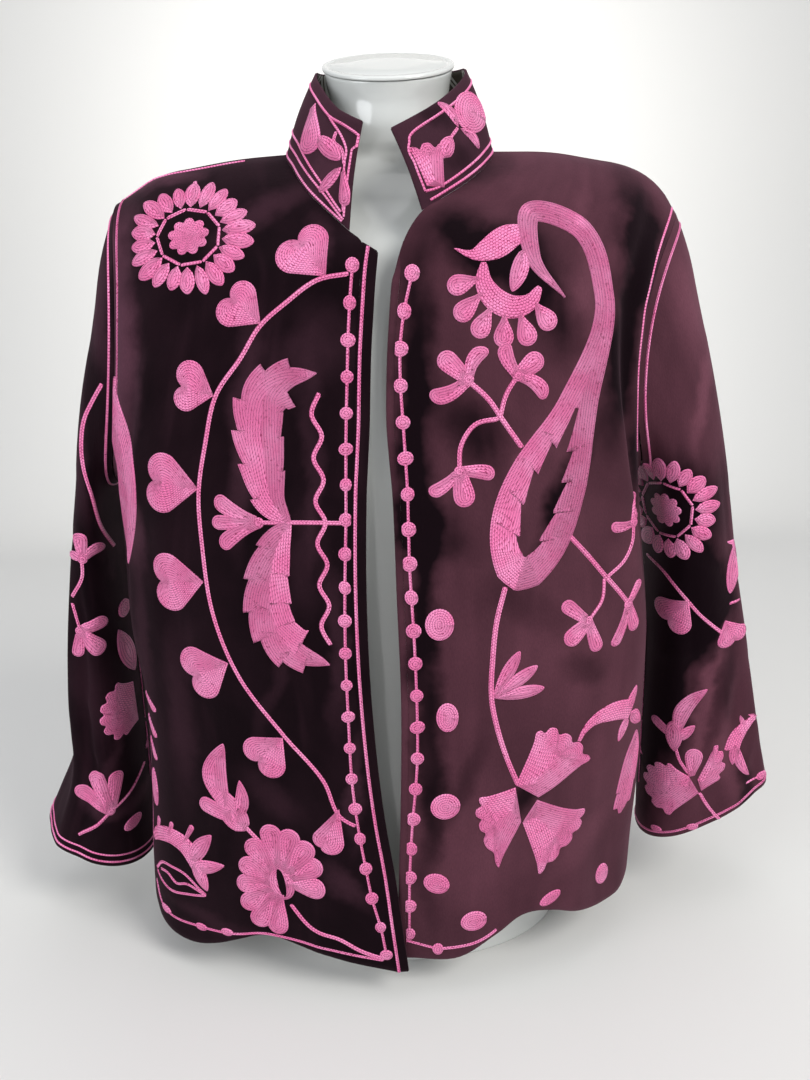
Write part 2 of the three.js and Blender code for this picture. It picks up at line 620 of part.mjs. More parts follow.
function frontPanel(side) {
  const across = frontAcross;
  const { grid, normals } = fronts[side];
  const lowerShare = 0.63; // share of the panel's height below the armpit
  const heights = [...lowerPlaces.map((v) => v * lowerShare), ...frontPlaces.map((w) => mix(lowerShare, 1, w))];
  const lastRow = grid.length - 1;
  const lastColumn = across.length - 1;
  const borderPlace = (j) => (j <= armpitRow ? 0 : frontPlaces[j - armpitRow - 1]);
  let directions = withSeamDirection(
    normals,
    (i) => clamp01((across[i] - 0.9) / 0.1) ** 1.5,
    (i, j) =>
      j < armpitRow
        ? sideDirection(side, grid[j][lastColumn].z)
        : armholes[side][frontTurns - (j - armpitRow)],
  );
  directions = withSeamDirection(
    directions,
    (i, j) => (j === lastRow && i < lastColumn ? 1 : 0),
    (i) => shoulderDirection(side, across[i]),
  );
  directions = withSeamDirection(
    directions,
    (i) => (i === 0 ? 1 : 0),
    (i, j) => {
      if (borderPlace(j) <= notchShare) return bandDirection(side, frontHeight(side, j));
      const share = (borderPlace(j) - tipShare) / (1 - tipShare);
      return neckDirection(side === "right" ? share * collarShoulderRight : mix(1, collarShoulderLeft, share));
    },
  );
  const folds = (i, j) =>
    foldHeight(bodyFolds[side], across[i], heights[j]) *
    clamp01((1 - across[i]) / 0.08) *
    clamp01((1 - heights[j]) / 0.08);
  const outer = shifted(grid, normals, folds);
  const inner = shifted(outer, directions, () => -wall);
  const edges = { start: true, end: true, top: true };
  return wallBetween(drawnIn(outer, edges), drawnIn(inner, edges), false);
}

function backPanel() {
  const across = backAcross;
  const { grid, normals } = backs;
  const lowerShare = 0.6;
  const heights = [...lowerPlaces.map((v) => v * lowerShare), ...backPlaces.map((w) => mix(lowerShare, 1, w))];
  const lastRow = grid.length - 1;
  const sideOf = (i) => (across[i] < 0.5 ? "right" : "left");
  const borderOf = (i) => (across[i] < 0.5 ? 0 : across.length - 1);
  const seamShare = (u) => clamp01((0.03 - Math.min(u, 1 - u)) / 0.03) ** 1.5;
  let directions = withSeamDirection(
    normals,
    (i) => seamShare(across[i]),
    (i, j) =>
      j < armpitRow
        ? sideDirection(sideOf(i), grid[j][borderOf(i)].z)
        : armholes[sideOf(i)][(frontTurns + j - armpitRow) % armholeTurns.length],
  );
  directions = withSeamDirection(
    directions,
    (i, j) => (j === lastRow && i > 0 && i < across.length - 1 ? 1 : 0),
    (i) => {
      const u = across[i];
      if (u < backShoulderShare) return shoulderDirection("right", 1 - u / backShoulderShare);
      if (u > 1 - backShoulderShare) {
        return shoulderDirection("left", (u - 1 + backShoulderShare) / backShoulderShare);
      }
      return neckDirection(neckShare(u));
    },
  );
  const folds = (i, j) =>
    foldHeight(bodyFolds.back, across[i], heights[j]) *
    clamp01(Math.min(across[i], 1 - across[i]) / 0.06) *
    clamp01((1 - heights[j]) / 0.08);
  const outer = shifted(grid, normals, folds);
  const inner = shifted(outer, directions, () => -wall);
  const edges = { start: true, end: true, top: true };
  return wallBetween(drawnIn(outer, edges), drawnIn(inner, edges), false);
}

function frontBand(side) {
  const rows = lowerPlaces.length + frontPlaces.filter((w) => w <= notchShare + 1e-9).length;
  const heights = Array.from({ length: rows }, (unused, j) => frontHeight(side, j));
  const edgeTop = heights.at(-1);
  const collarTip = neckSeam(side === "right" ? 0 : 1);
  const across = [0, 0.5, 1];
  const sheet = gridOf(across, heights, (u, z) => {
    const point = bandSeam(side, z, bandWidth[side] * (1 - u));
    if (side === "right") point.y -= overlap(z);
    if (z >= edgeTop) point.z -= 0.6 * (collarTip.z - edgeTop) * u;
    return point;
  });
  const directions = heights.map((z) => across.map(() => bandDirection(side, z)));
  const inner = shifted(sheet, directions, () => -bandWall);
  return wallBetween(drawnIn(sheet, { start: true }), drawnIn(inner, { start: true }), false);
}

function sleeve(side) {
  const { grid, normals } = tubes[side];
  const directions = withSeamDirection(
    normals,
    (i, j) => smooth(1 - sleeveAlong[j] / 0.05),
    (i) => armholes[side][i],
  );
  const outer = shifted(grid, normals, (i, j) => sleeveFoldHeight(side, armholeTurns[i], sleeveAlong[j]));
  const inner = shifted(outer, directions, () => -wall);
  return wallBetween(drawnIn(outer, { bottom: true }), drawnIn(inner, { bottom: true }), true);
}

function collar() {
  const up = evenly(4);
  const bulge = 2.5; // the collar's height is a little rounded outwards
  const sheet = gridOf(collarAcross, up, (u, v) => neckSeam(u).lerp(collarTop(u), v));
  let normals = gridNormals(sheet);
  if (normals[1][10].y < 0) normals = normals.map((row) => row.map((n) => n.negate()));
  const outer = shifted(sheet, normals, (i, j) => bulge * Math.sin(Math.PI * up[j]));
  const directions = withSeamDirection(
    normals,
    (i, j) => (j === 0 ? 1 : 0),
    (i) => neckDirection(collarAcross[i]),
  );
  const inner = shifted(outer, directions, () => -wall);
  return wallBetween(drawnIn(outer, { bottom: true }), drawnIn(inner, { bottom: true }), false);
}

// One closed loft through level rings, with a flat floor and top.
function loft(rings) {
  const width = rings[0].length;
  const positions = rings.flat().flatMap((p) => [p.x, p.y, p.z]);
  const faces = [];
  for (let j = 0; j < rings.length - 1; j += 1) {
    for (let i = 0; i < width; i += 1) {
      const [a, b] = [j * width + i, j * width + ((i + 1) % width)];
      faces.push(a, b, b + width, a, b + width, a + width);
    }
  }
  for (const [ring, order] of [[0, 1], [rings.length - 1, -1]]) {
    const centre = positions.length / 3;
    const middle = rings[ring].reduce((sum, p) => sum.add(p), new THREE.Vector3()).divideScalar(width);
    positions.push(middle.x, middle.y, middle.z);
    for (let i = 0; i < width; i += 1) {
      const [a, b] = [ring * width + i, ring * width + ((i + 1) % width)];
      faces.push(...(order > 0 ? [centre, b, a] : [centre, a, b]));
    }
  }
  return facingOut(positions, faces);
}

const formColumns = columns(formRings, "z", ["half", "front", "back", "tilt"]);

function formPoint(turn, z, grown = 0, lift = 0) {
  const forwards = Math.cos(turn);
  const depth = (forwards > 0 ? formColumns.front(z) : formColumns.back(z)) + grown;
  const y = -depth * forwards;
  const x = neckCentre + (formColumns.half(z) + grown) * Math.sin(turn);
  return new THREE.Vector3(x, y, z + formColumns.tilt(z) * y + lift);
}

function torsoForm() {
  const around = evenly(32, 0, 2 * Math.PI).slice(0, -1);
  const heights = [...evenly(10, 0, 570), 610, 640, 662, 680, 692, 703, 709, 715, 721, 727, 742, 758, 775, 790];
  return loft(heights.map((z) => around.map((turn) => formPoint(turn, z))));
}

function neckCap() {
  const around = evenly(32, 0, 2 * Math.PI).slice(0, -1);
  const top = formRings.at(-1).z;
  const rings = [
    { grown: neckCapLip, lift: seamGap },
    { grown: neckCapLip, lift: neckCapThickness - 1 },
    { grown: neckCapLip - 1.5, lift: neckCapThickness },
  ];
  return loft(rings.map((ring) => around.map((turn) => formPoint(turn, top, ring.grown, ring.lift))));
}

for (const side of ["right", "left"]) {
  add("front_" + side, frontPanel(side), materials.velvet);
  add("front_band_" + side, frontBand(side), materials.velvet);
  add("sleeve_" + side, sleeve(side), materials.velvet);
}
add("back", backPanel(), materials.velvet);
add("collar", collar(), materials.velvet);
add("torso_form", torsoForm(), materials.form);
add("neck_cap", neckCap(), materials.form);

export default group;
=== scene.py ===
import math

import bpy
import numpy as np
from mathutils import Matrix, Vector
from mathutils.bvhtree import BVHTree


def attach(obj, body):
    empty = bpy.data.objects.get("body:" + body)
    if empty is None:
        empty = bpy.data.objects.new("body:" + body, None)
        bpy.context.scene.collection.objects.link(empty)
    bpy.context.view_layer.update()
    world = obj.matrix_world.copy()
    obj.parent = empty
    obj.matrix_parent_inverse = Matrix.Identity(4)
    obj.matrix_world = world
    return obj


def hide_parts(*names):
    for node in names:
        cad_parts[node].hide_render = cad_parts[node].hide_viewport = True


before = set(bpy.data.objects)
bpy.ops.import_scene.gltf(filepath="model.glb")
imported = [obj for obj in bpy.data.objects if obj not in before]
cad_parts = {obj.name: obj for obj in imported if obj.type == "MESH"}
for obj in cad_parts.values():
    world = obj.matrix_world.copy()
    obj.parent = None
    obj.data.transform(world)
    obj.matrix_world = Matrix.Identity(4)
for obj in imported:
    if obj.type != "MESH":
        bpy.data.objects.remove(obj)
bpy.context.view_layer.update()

milli = 0.001
wall = 2.2  # mm, velvet and lining together
bandWall = 2.6
seamHalf = 0.03  # half of the gap that two pieces leave at a seam
edgeBulge = 0.45  # how far a free edge rounds out, as a share of the wall
armpitHeight = 450
ventHeight = 305
notchHeight = 640  # where a front edge turns in towards the neck
notchShare = 0.55
tipShare = 0.62
neckStart, neckEnd = 0.3, 0.7  # where the back begins and ends along the neck seam
dipReach = 0.16  # the share of a piece over which it dips to the armpit
ringPower = 2 / 2.5
sleevePower = 2 / 2.2
bandWidth = {"right": 11, "left": 5}
sideSign = {"left": 1, "right": -1}


# A table: its column names, then its rows.
def rowsOf(names, *rows):
    return [dict(zip(names.split(), row)) for row in rows]


# The garment's own measures, in millimetres, with right and left as the wearer's.
bodyRings = rowsOf("z right left front back",
    (0, 266, 216, 140, 124), (75, 263, 217, 139, 124), (160, 256, 223, 137, 123),
    (250, 253, 226, 134, 121), (330, 261, 225, 131, 118), (400, 260, 218, 128, 114),
    (450, 256, 212, 125, 110))

frontEdges = rowsOf("z right left depth",
    (0, -5, -12, 140), (70, -12, -14, 139), (126, -18, -12, 138), (185, -26, -9, 136),
    (278, -32, -6, 133), (365, -33, -7, 129), (450, -30, -8, 123), (501, -26, -11, 119),
    (556, -23, -9, 114), (590, -20, -6, 110), (640, -15, 0, 104))

hemRows = rowsOf("across right left backRight backLeft",
    (0, 30, 38, 30, 30), (0.05, 34, 34, 30, 31), (0.12, 43, 41, 30, 33), (0.2, 49, 60, 31, 36),
    (0.3, 54, 75, 33, 40), (0.42, 41, 65, 36, 46), (0.55, 31, 55, 37, 52), (0.7, 36, 53, 39, 57),
    (0.85, 42, 60, 43, 60), (1, 46, 62, 46, 62))

collarRows = rowsOf("along x y z topX topY topZ",
    (0, -37, -93, 651, -24, -90, 727), (0.1, -67, -70, 681, -43, -68, 742),
    (0.2, -83, -40, 706, -57, -38, 765), (0.3, -90, -7, 724, -64, -4, 786),
    (0.4, -64, 50, 737, -54, 48, 799), (0.5, -4, 74, 741, -4, 68, 804), (0.6, 56, 50, 736, 46, 48, 799),
    (0.7, 82, -7, 722, 62, -4, 786), (0.8, 76, -40, 706, 53, -38, 765), (0.9, 55, -70, 686, 30, -68, 742),
    (1, 21, -93, 664, -1, -90, 722))

shoulderRows = rowsOf("along x y right left",
    (0.25, 129, -9, 721, 720), (0.5, 165, -9, 716, 714), (0.72, 199, -7, 710, 707),
    (0.88, 222, -4, 698, 694))

sleeveNames = "along outX outZ inX inZ midY depth bow"
sleeveRows = {
    "left": rowsOf(sleeveNames,
        (0, 240, 670, 219, 450, 2, 72, 32), (0.03, 252, 643, 227, 447, 4, 71, 28),
        (0.07, 262, 608, 232, 437, 7, 70, 22), (0.15, 275, 552, 236, 410, 12, 70, 12),
        (0.3, 293, 455, 239, 352, 16, 70, 3), (0.5, 310, 358, 240, 272, 18, 67, 0),
        (0.7, 327, 270, 240, 194, 18, 61, 0), (0.85, 341, 200, 239, 130, 16, 56, 0),
        (1, 358, 132, 237, 66, 10, 50, 0)),
    "right": rowsOf(sleeveNames,
        (0, 236, 690, 263, 450, 2, 72, 17), (0.03, 249, 660, 269, 447, 4, 71, 14),
        (0.07, 259, 622, 274, 438, 9, 70, 10), (0.15, 276, 560, 278, 412, 18, 70, 5),
        (0.3, 301, 458, 279, 352, 30, 72, 0), (0.5, 319, 356, 279, 268, 36, 74, 0),
        (0.7, 333, 255, 279, 182, 36, 72, 0), (0.85, 342, 175, 279, 116, 32, 68, 0),
        (1, 379, 94, 278, 50, 26, 62, 0)),
}

foldNames = "turn drift width height start end"
sleeveFolds = {
    "left": rowsOf(foldNames,
        (62, -34, 13, 9, 0.42, 1.2), (20, 16, 12, 6, 0.05, 0.75), (118, -20, 16, -6, 0.25, 1.1),
        (250, 20, 18, 7, 0.15, 1.1), (310, -16, 16, -6, 0.3, 1.2)),
    "right": rowsOf(foldNames,
        (48, 18, 14, 8, 0.3, 1.15), (88, -14, 13, -7, 0.35, 1.2), (12, -10, 14, 6, 0.62, 1.3),
        (245, 22, 18, 7, 0.15, 1.1), (305, -18, 16, -6, 0.3, 1.2)),
}
bodyFolds = {
    "right": rowsOf(foldNames,
        (0.84, -0.05, 0.07, -5, 0.3, 1.05), (0.6, 0.08, 0.1, 4, -0.4, 0.45),
        (0.3, -0.06, 0.09, -3, -0.5, 0.4)),
    "left": rowsOf(foldNames,
        (0.84, -0.06, 0.06, -7, 0.35, 1.05), (0.68, 0.04, 0.08, 4, 0.3, 1),
        (0.5, 0.1, 0.1, -5, -0.5, 0.35)),
    "back": rowsOf(foldNames,
        (0.14, -0.03, 0.035, -6, 0.25, 0.98), (0.86, 0.03, 0.035, -6, 0.25, 0.98),
        (0.33, -0.05, 0.05, 6, -0.5, 0.7), (0.52, 0.03, 0.05, -5, -0.5, 0.6),
        (0.69, 0.05, 0.05, 6, -0.5, 0.65)),
}

formRows = rowsOf("z half front back tilt",
    (0, 150, 100, 94, 0), (60, 157, 105, 100, 0), (160, 150, 101, 92, 0), (270, 136, 93, 80, 0),
    (380, 148, 99, 86, 0), (480, 164, 105, 92, 0), (570, 174, 98, 82, 0), (640, 178, 76, 50, 0),
    (680, 160, 54, 30, 0), (702, 126, 43, 12, 0), (714, 80, 41, 8, 0), (726, 62, 45, 32, 0.04),
    (742, 53, 48, 50, 0.14), (766, 50, 49, 48, 0.3), (790, 54, 54, 51, 0.48))
neckCentre = -3


def clamp(value):
    return min(1.0, max(0.0, value))


def smooth(value):
    t = clamp(value)
    return t * t * (3 - 2 * t)


def mix(a, b, t):
    return a + (b - a) * t


def signedPower(value, power):
    return math.copysign(abs(value) ** power, value)


# One column of a table, read as a smooth curve over another.
def column(rows, key, name):
    keys = [row[key] for row in rows]
    values = [row[name] for row in rows]
    last = len(rows) - 1
    slopes = []
    for i in range(last + 1):
        low, high = max(0, i - 1), min(last, i + 1)
        slopes.append((values[high] - values[low]) / (keys[high] - keys[low]))

    def read(at):
        at = min(keys[-1], max(keys[0], at))
        i = 0
        while i < last - 1 and at > keys[i + 1]:
            i += 1
        span = keys[i + 1] - keys[i]
        t = (at - keys[i]) / span
        return ((2 * t**3 - 3 * t**2 + 1) * values[i] + (t**3 - 2 * t**2 + t) * span * slopes[i]
                + (3 * t**2 - 2 * t**3) * values[i + 1] + (t**3 - t**2) * span * slopes[i + 1])
    return read


def columnsOf(rows, key):
    return {name: column(rows, key, name) for name in rows[0] if name != key}


body = columnsOf(bodyRings, "z")
frontEdge = columnsOf(frontEdges, "z")
hemLine = columnsOf(hemRows, "across")
collarLine = columnsOf(collarRows, "along")
sleeveLine = {side: columnsOf(rows, "along") for side, rows in sleeveRows.items()}
formLine = columnsOf(formRows, "z")


def point(x, y, z):
    return np.array((x, y, z), float)


def neckSeam(along):
    return point(*(collarLine[name](along) for name in ("x", "y", "z")))


def collarTop(along):
    return point(*(collarLine[name](along) for name in ("topX", "topY", "topZ")))


# A place on a sleeve: the turn starts at the top and goes by the front, along runs from armhole to cuff.
def sleevePoint(side, turn, along):
    line = {name: read(along) for name, read in sleeveLine[side].items()}
    outwards = signedPower(math.cos(turn), sleevePower)
    forwards = signedPower(math.sin(turn), sleevePower)
    x = mix(line["inX"], line["outX"], (1 + outwards) / 2) - line["bow"] * math.sin(turn) ** 2
    z = mix(line["inZ"], line["outZ"], (1 + outwards) / 2)
    return point(sideSign[side] * x, line["midY"] - line["depth"] * forwards, z)


def shoulderSeam(side, along):
    start, end, sign = neckSeam(neckStart if side == "right" else neckEnd), sleevePoint(side, 0,
            0), sideSign[side]
    rows = [{"along": 0, "x": sign * start[0], "y": start[1], side: start[2]}, *shoulderRows,
            {"along": 1, "x": sign * end[0], "y": end[1], side: end[2]}]
    return point(sign * column(rows, "along", "x")(along), column(rows, "along", "y")(along),
                 column(rows, "along", side)(along))


# A place on the body of the jacket, with the angle from the middle of the front.
def bodyPoint(side, angle, z):
    depth = body["front" if math.cos(angle) > 0 else "back"](z)
    x = body[side](z) * signedPower(math.sin(angle), ringPower)
    return point(sideSign[side] * x, -depth * signedPower(math.cos(angle), ringPower), z)


def underarmTurn(z):
    rise = clamp((z - armpitHeight + 26) / 26)
    return 1 - math.sqrt(1 - rise * rise)


def ventShare(z):
    return smooth((ventHeight - z) / 90)


def armpitDip(away):
    return 50 * math.sin(math.pi / 2 * clamp(away)) * smooth(2 - 2 * away * dipReach)


def rowHeight(bottom, v, top=armpitHeight):
    return mix(bottom, ventHeight, 2 * v) if v < 0.5 else mix(ventHeight, top, 2 * v - 1)


def edgeAngle(side, x, z):
    return math.asin(signedPower(sideSign[side] * x / body[side](z), 1 / ringPower))


def bandSeam(side, z, inset):
    x = frontEdge[side](z) + sideSign[side] * inset
    if z > armpitHeight:
        return point(x, -frontEdge["depth"](z) + 0.02 * abs(x), z)
    return bodyPoint(side, edgeAngle(side, x, z), z)


def overlap(z):
    return 7 * (1 - smooth((z - 60) / 110))


def frontLower(side, u, v):
    z = rowHeight(hemLine[side](u), v, armpitHeight - armpitDip((1 - u) / dipReach))
    start = edgeAngle(side, frontEdge[side](z) + sideSign[side] * bandWidth[side], z)
    made = bodyPoint(side, mix(start, math.radians(90 - 7 * ventShare(z)), u), z)
    made[0] += sideSign[side] * 5 * underarmTurn(z) * u**10
    if side == "right":
        made[1] -= overlap(z) * (1 - smooth(u / 0.3))
    return made


def frontBorder(side, w):
    tip, inset = neckSeam(0 if side == "right" else 1), bandWidth[side]
    if w <= notchShare:
        return bandSeam(side, mix(armpitHeight, notchHeight, w / notchShare), inset)
    if w < tipShare:
        return mix(bandSeam(side, notchHeight, inset), tip, (w - notchShare) / (tipShare - notchShare))
    share = (w - tipShare) / (1 - tipShare)
    return neckSeam(share * neckStart if side == "right" else mix(1, neckEnd, share))


# A sheet hung between four borders.
def coons(bottom, top, left, right, fall, arch, u, w):
    def between(low, high):
        made = mix(low, high, w)
        made[1] = mix(low[1], high[1], w**arch)
        return made

    def bulge(border):
        return border(w) - between(border(0), border(1))
    return between(bottom(u), top(u)) + bulge(left) * (1 - u) ** fall + bulge(right) * u**fall


def frontUpper(side, u, w):
    return coons(lambda at: frontLower(side, at, 1), lambda at: shoulderSeam(side, at),
                 lambda at: frontBorder(side, at),
                 lambda at: sleevePoint(side, math.pi * (1 - at), 0), 1, 1, u, w)


def backLower(u, v):
    side = "right" if u < 0.5 else "left"
    away = abs(2 * u - 1)
    z = rowHeight(hemLine["backRight" if side == "right" else "backLeft"](away), v,
                  armpitHeight - armpitDip((1 - away) / dipReach))
    made = bodyPoint(side, math.radians(mix(180, 90 + 4.2 * ventShare(z), away)), z)
    swing = 12 * math.sin(math.pi * clamp((ventHeight - z) / 200))
    made[0] += sideSign[side] * (5 * underarmTurn(z) * away**10 + swing * away**6)
    return made


def backTop(u):
    if u < neckStart:
        return shoulderSeam("right", 1 - u / neckStart)
    if u > neckEnd:
        return shoulderSeam("left", (u - neckEnd) / (1 - neckEnd))
    return neckSeam(u)


def backUpper(u, w):
    return coons(lambda at: backLower(at, 1), backTop,
                 lambda at: sleevePoint("right", math.pi * (1 + at), 0),
                 lambda at: sleevePoint("left", math.pi * (1 + at), 0), 4, 3.2, u, w)


def foldHeight(folds, across, up):
    height = 0
    for fold in folds:
        away = (across - fold["turn"] - fold["drift"] * (1 - up)) / fold["width"]
        run = clamp((up - fold["start"]) / (fold["end"] - fold["start"]))
        height += fold["height"] * math.exp(-away * away) * math.sin(math.pi * run) ** 1.5
    return height


def sleeveFoldHeight(side, turn, along):
    height = 0
    for fold in sleeveFolds[side]:
        off = math.degrees(turn) - fold["turn"] - fold["drift"] * along
        away = ((off + 540) % 360 - 180) / fold["width"]
        run = clamp((along - fold["start"]) / (fold["end"] - fold["start"]))
        height += fold["height"] * math.exp(-away * away) * math.sin(math.pi * run) ** 1.2
    return height


def evenly(count, low=0.0, high=1.0):
    return [mix(low, high, i / count) for i in range(count + 1)]


lowerPlaces = [*evenly(6, 0, 0.5), *evenly(6, 0.5, 0.95)[1:], 0.97, 0.985, 1]
frontPlaces = [*evenly(7, 0, notchShare), *evenly(6, tipShare, 1)][1:]
backPlaces = evenly(12)[1:]
frontAcross = [*evenly(10, 0, 0.92), 0.97, 1]
sideAcross = [neckStart * (1 - u) for u in reversed(frontAcross)]
neckAcross = evenly(7, neckStart, neckEnd)[1:-1]
backAcross = [*sideAcross, *neckAcross, *[1 - u for u in reversed(sideAcross)]]
sleeveTurns = [*reversed([math.pi * (1 - w) for w in [0, *frontPlaces]]),
               *[math.pi * (1 + w) for w in backPlaces[:-1]]]
sleeveAlong = [0, 0.015, 0.035, 0.07, *evenly(15, 0.125, 1)]
frontNeck = [(w - tipShare) / (1 - tipShare) for w in frontPlaces if w >= tipShare]
collarAcross = [*[share * neckStart for share in frontNeck], *neckAcross,
                *reversed([mix(1, neckEnd, share) for share in frontNeck])]
armpitRow = len(lowerPlaces) - 1


def unit(vectors):
    return vectors / np.maximum(np.linalg.norm(vectors, axis=-1, keepdims=True), 1e-9)


# How far each place of a path lies along it.
def runOf(path):
    return np.concatenate([[0], np.cumsum(np.linalg.norm(np.diff(path, axis=0), axis=1))])


def gridNormals(grid, closed=False):
    along = np.gradient(grid, axis=1)
    if closed:
        along = (np.roll(grid, -1, 1) - np.roll(grid, 1, 1)) / 2
    return unit(np.cross(along, np.gradient(grid, axis=0)))


# Evens out the rows about the armpit, where the upper and the lower half meet.
def settled(grid):
    rows, wide = grid.shape[:2]
    weight = np.zeros((rows, wide, 1))
    for j in range(1, rows - 1):
        for i in range(1, wide - 1):
            weight[j, i] = 0.6 * smooth(1 - abs(j - armpitRow) / 7) * smooth(min(i, wide - 1 - i) / 2)
    made = grid.copy()
    for _ in range(14):
        middle = made.copy()
        middle[1:-1] = (made[:-2] + made[2:]) / 2
        made = made + (middle - made) * weight
    return made


def chord(grid, axis):
    steps = np.linalg.norm(np.diff(grid, axis=axis), axis=2).mean(axis=1 - axis)
    return np.concatenate([[0], np.cumsum(steps)])


# A smooth finer grid through every point of a coarse one.
def hermite(values, keys, at):
    slopes = np.gradient(values, keys, axis=0)
    i = np.clip(np.searchsorted(keys, at, side="right") - 1, 0, len(keys) - 2)
    span = keys[i + 1] - keys[i]
    t = (at - keys[i]) / span
    shape = (-1,) + (1,) * (values.ndim - 1)
    t, span = t.reshape(shape), span.reshape(shape)
    return ((2 * t**3 - 3 * t**2 + 1) * values[i] + (t**3 - 2 * t**2 + t) * span * slopes[i]
            + (3 * t**2 - 2 * t**3) * values[i + 1] + (t**3 - t**2) * span * slopes[i + 1])


def finer(grid, step, closed=False):
    if closed:
        extra = 3
        grid = np.concatenate([grid[:, -extra:], grid, grid[:, :extra + 1]], axis=1)
    for axis in (0, 1):
        keys = chord(grid, axis)
        at = [keys[0]]
        for low, high in zip(keys[:-1], keys[1:]):
            count = max(1, round((high - low) / step))
            at.extend(low + (high - low) * (k + 1) / count for k in range(count))
        at = np.array(at)
        if closed and axis == 1:
            at = at[(at >= keys[extra] - 1e-6) & (at < keys[-extra - 1] - 1e-6)]
        grid = np.moveaxis(hermite(np.moveaxis(grid, axis, 0), keys, at), 0, axis)
    return grid


def makeObject(name, vertices, faces, uvs=None, materials=(), slots=None):
    mesh = bpy.data.meshes.new(name)
    vertices = np.asarray(vertices, float) * milli
    mesh.from_pydata(vertices.tolist(), [], faces)
    if uvs is not None:
        layer = mesh.uv_layers.new(name="cloth")
        index = np.empty(len(mesh.loops), int)
        mesh.loops.foreach_get("vertex_index", index)
        layer.data.foreach_set("uv", (np.asarray(uvs)[index] * milli).astype(np.float32).ravel())
    for material in materials:
        mesh.materials.append(material)
    if slots is not None:
        mesh.polygons.foreach_set("material_index", slots)
    mesh.polygons.foreach_set("use_smooth", [True] * len(mesh.polygons))
    mesh.validate()
    mesh.update()
    made = bpy.data.objects.new(name, mesh)
    bpy.context.scene.collection.objects.link(made)
    return made


# A thin closed shell: an outer grid, an inner one, and a rounded strip round each free border.
def clothShell(name, outer, inner, materials, closed, free):
    rows, wide = outer.shape[:2]
    uv = np.stack(np.meshgrid(chord(outer, 1), chord(outer, 0)), axis=2)
    vertices = [outer.reshape(-1, 3), inner.reshape(-1, 3)]
    uvs = [uv.reshape(-1, 2), uv.reshape(-1, 2)]
    faces, slots = [], []
    count = rows * wide

    def at(layer, j, i):
        return layer * count + j * wide + i % wide
    steps = wide if closed else wide - 1
    for j in range(rows - 1):
        for i in range(steps):
            faces.append((at(0, j, i), at(0, j, i + 1), at(0, j + 1, i + 1), at(0, j + 1, i)))
            faces.append((at(1, j, i), at(1, j + 1, i), at(1, j + 1, i + 1), at(1, j, i + 1)))
            slots += [0, 1]
    borders = {"bottom": [(0, i) for i in range(wide)],
               "top": [(rows - 1, i) for i in reversed(range(wide))]}
    if closed:
        borders = {key: [*border, border[0]] for key, border in borders.items()}
    else:
        borders["start"] = [(j, 0) for j in reversed(range(rows))]
        borders["end"] = [(j, wide - 1) for j in range(rows)]
    inwards = {"bottom": (1, 0), "top": (-1, 0), "start": (0, 1), "end": (0, -1)}
    total, sharp = 2 * count, set()
    for key, border in borders.items():
        dj, di = inwards[key]
        middle, middleUv = [], []
        for j, i in border:
            away = unit(outer[j, i] - outer[j + dj, (i + di) % wide])
            push = wall * edgeBulge if key in free else 0
            middle.append((outer[j, i] + inner[j, i]) / 2 + away * push)
            middleUv.append(uv[j, i])
        vertices.append(np.array(middle))
        uvs.append(np.array(middleUv))
        for k in range(len(border) - 1):
            (j0, i0), (j1, i1) = border[k], border[k + 1]
            a, b = total + k, total + k + 1
            faces.append((at(0, j1, i1), at(0, j0, i0), a, b))
            faces.append((b, a, at(1, j0, i0), at(1, j1, i1)))
            if key not in free:  # a cut edge that meets a seam stays sharp
                sharp |= {frozenset((at(side, j0, i0), at(side, j1, i1))) for side in (0, 1)}
            slots += [0, 0]
        total += len(border)
    made = makeObject(name, np.concatenate(vertices), faces, np.concatenate(uvs), materials, slots)
    for edge in made.data.edges:
        edge.use_edge_sharp = frozenset(edge.vertices) in sharp
    outwardFaces(made)
    return made


def outwardFaces(piece):
    mesh = piece.data
    co = np.empty(len(mesh.vertices) * 3)
    mesh.vertices.foreach_get("co", co)
    co = co.reshape(-1, 3)
    mesh.calc_loop_triangles()
    tri = np.empty(len(mesh.loop_triangles) * 3, int)
    mesh.loop_triangles.foreach_get("vertices", tri)
    a, b, c = (co[tri.reshape(-1, 3)[:, k]] for k in range(3))
    if np.einsum("ij,ij->i", a, np.cross(b, c)).sum() < 0:
        mesh.flip_normals()


# Soft creases laid one by one: each runs from one place to another as seen from the front or the back.
def creased(grid, normals, creases):
    height = np.zeros(grid.shape[:2])
    for crease in creases:
        start = np.array((crease["x"], crease["z"]), float)
        line = np.array((crease["toX"], crease["toZ"]), float) - start
        flat = grid[:, :, [0, 2]] - start
        along = np.clip((flat @ line) / (line @ line), 0, 1)
        away = np.linalg.norm(flat - along[:, :, None] * line, axis=2)
        facing = np.clip(-normals[:, :, 1] * crease["face"] * 3, 0, 1)
        swell = np.sin(np.pi * (0.12 + 0.76 * along)) ** 0.8
        height += crease["height"] * np.exp(-(away / crease["width"]) ** 2) * facing * swell
    return grid + normals * height[:, :, None]


# Draws a sheet's edges in by half a seam.
def drawnIn(grid, edges):
    made = grid.copy()
    for key, border, inside in (("start", (slice(None), 0), (slice(None), 1)),
                                ("end", (slice(None), -1), (slice(None), -2)),
                                ("bottom", (0,), (1,)), ("top", (-1,), (-2,))):
        if key in edges:
            made[border] = grid[border] + unit(grid[inside] - grid[border]) * seamHalf
    return made


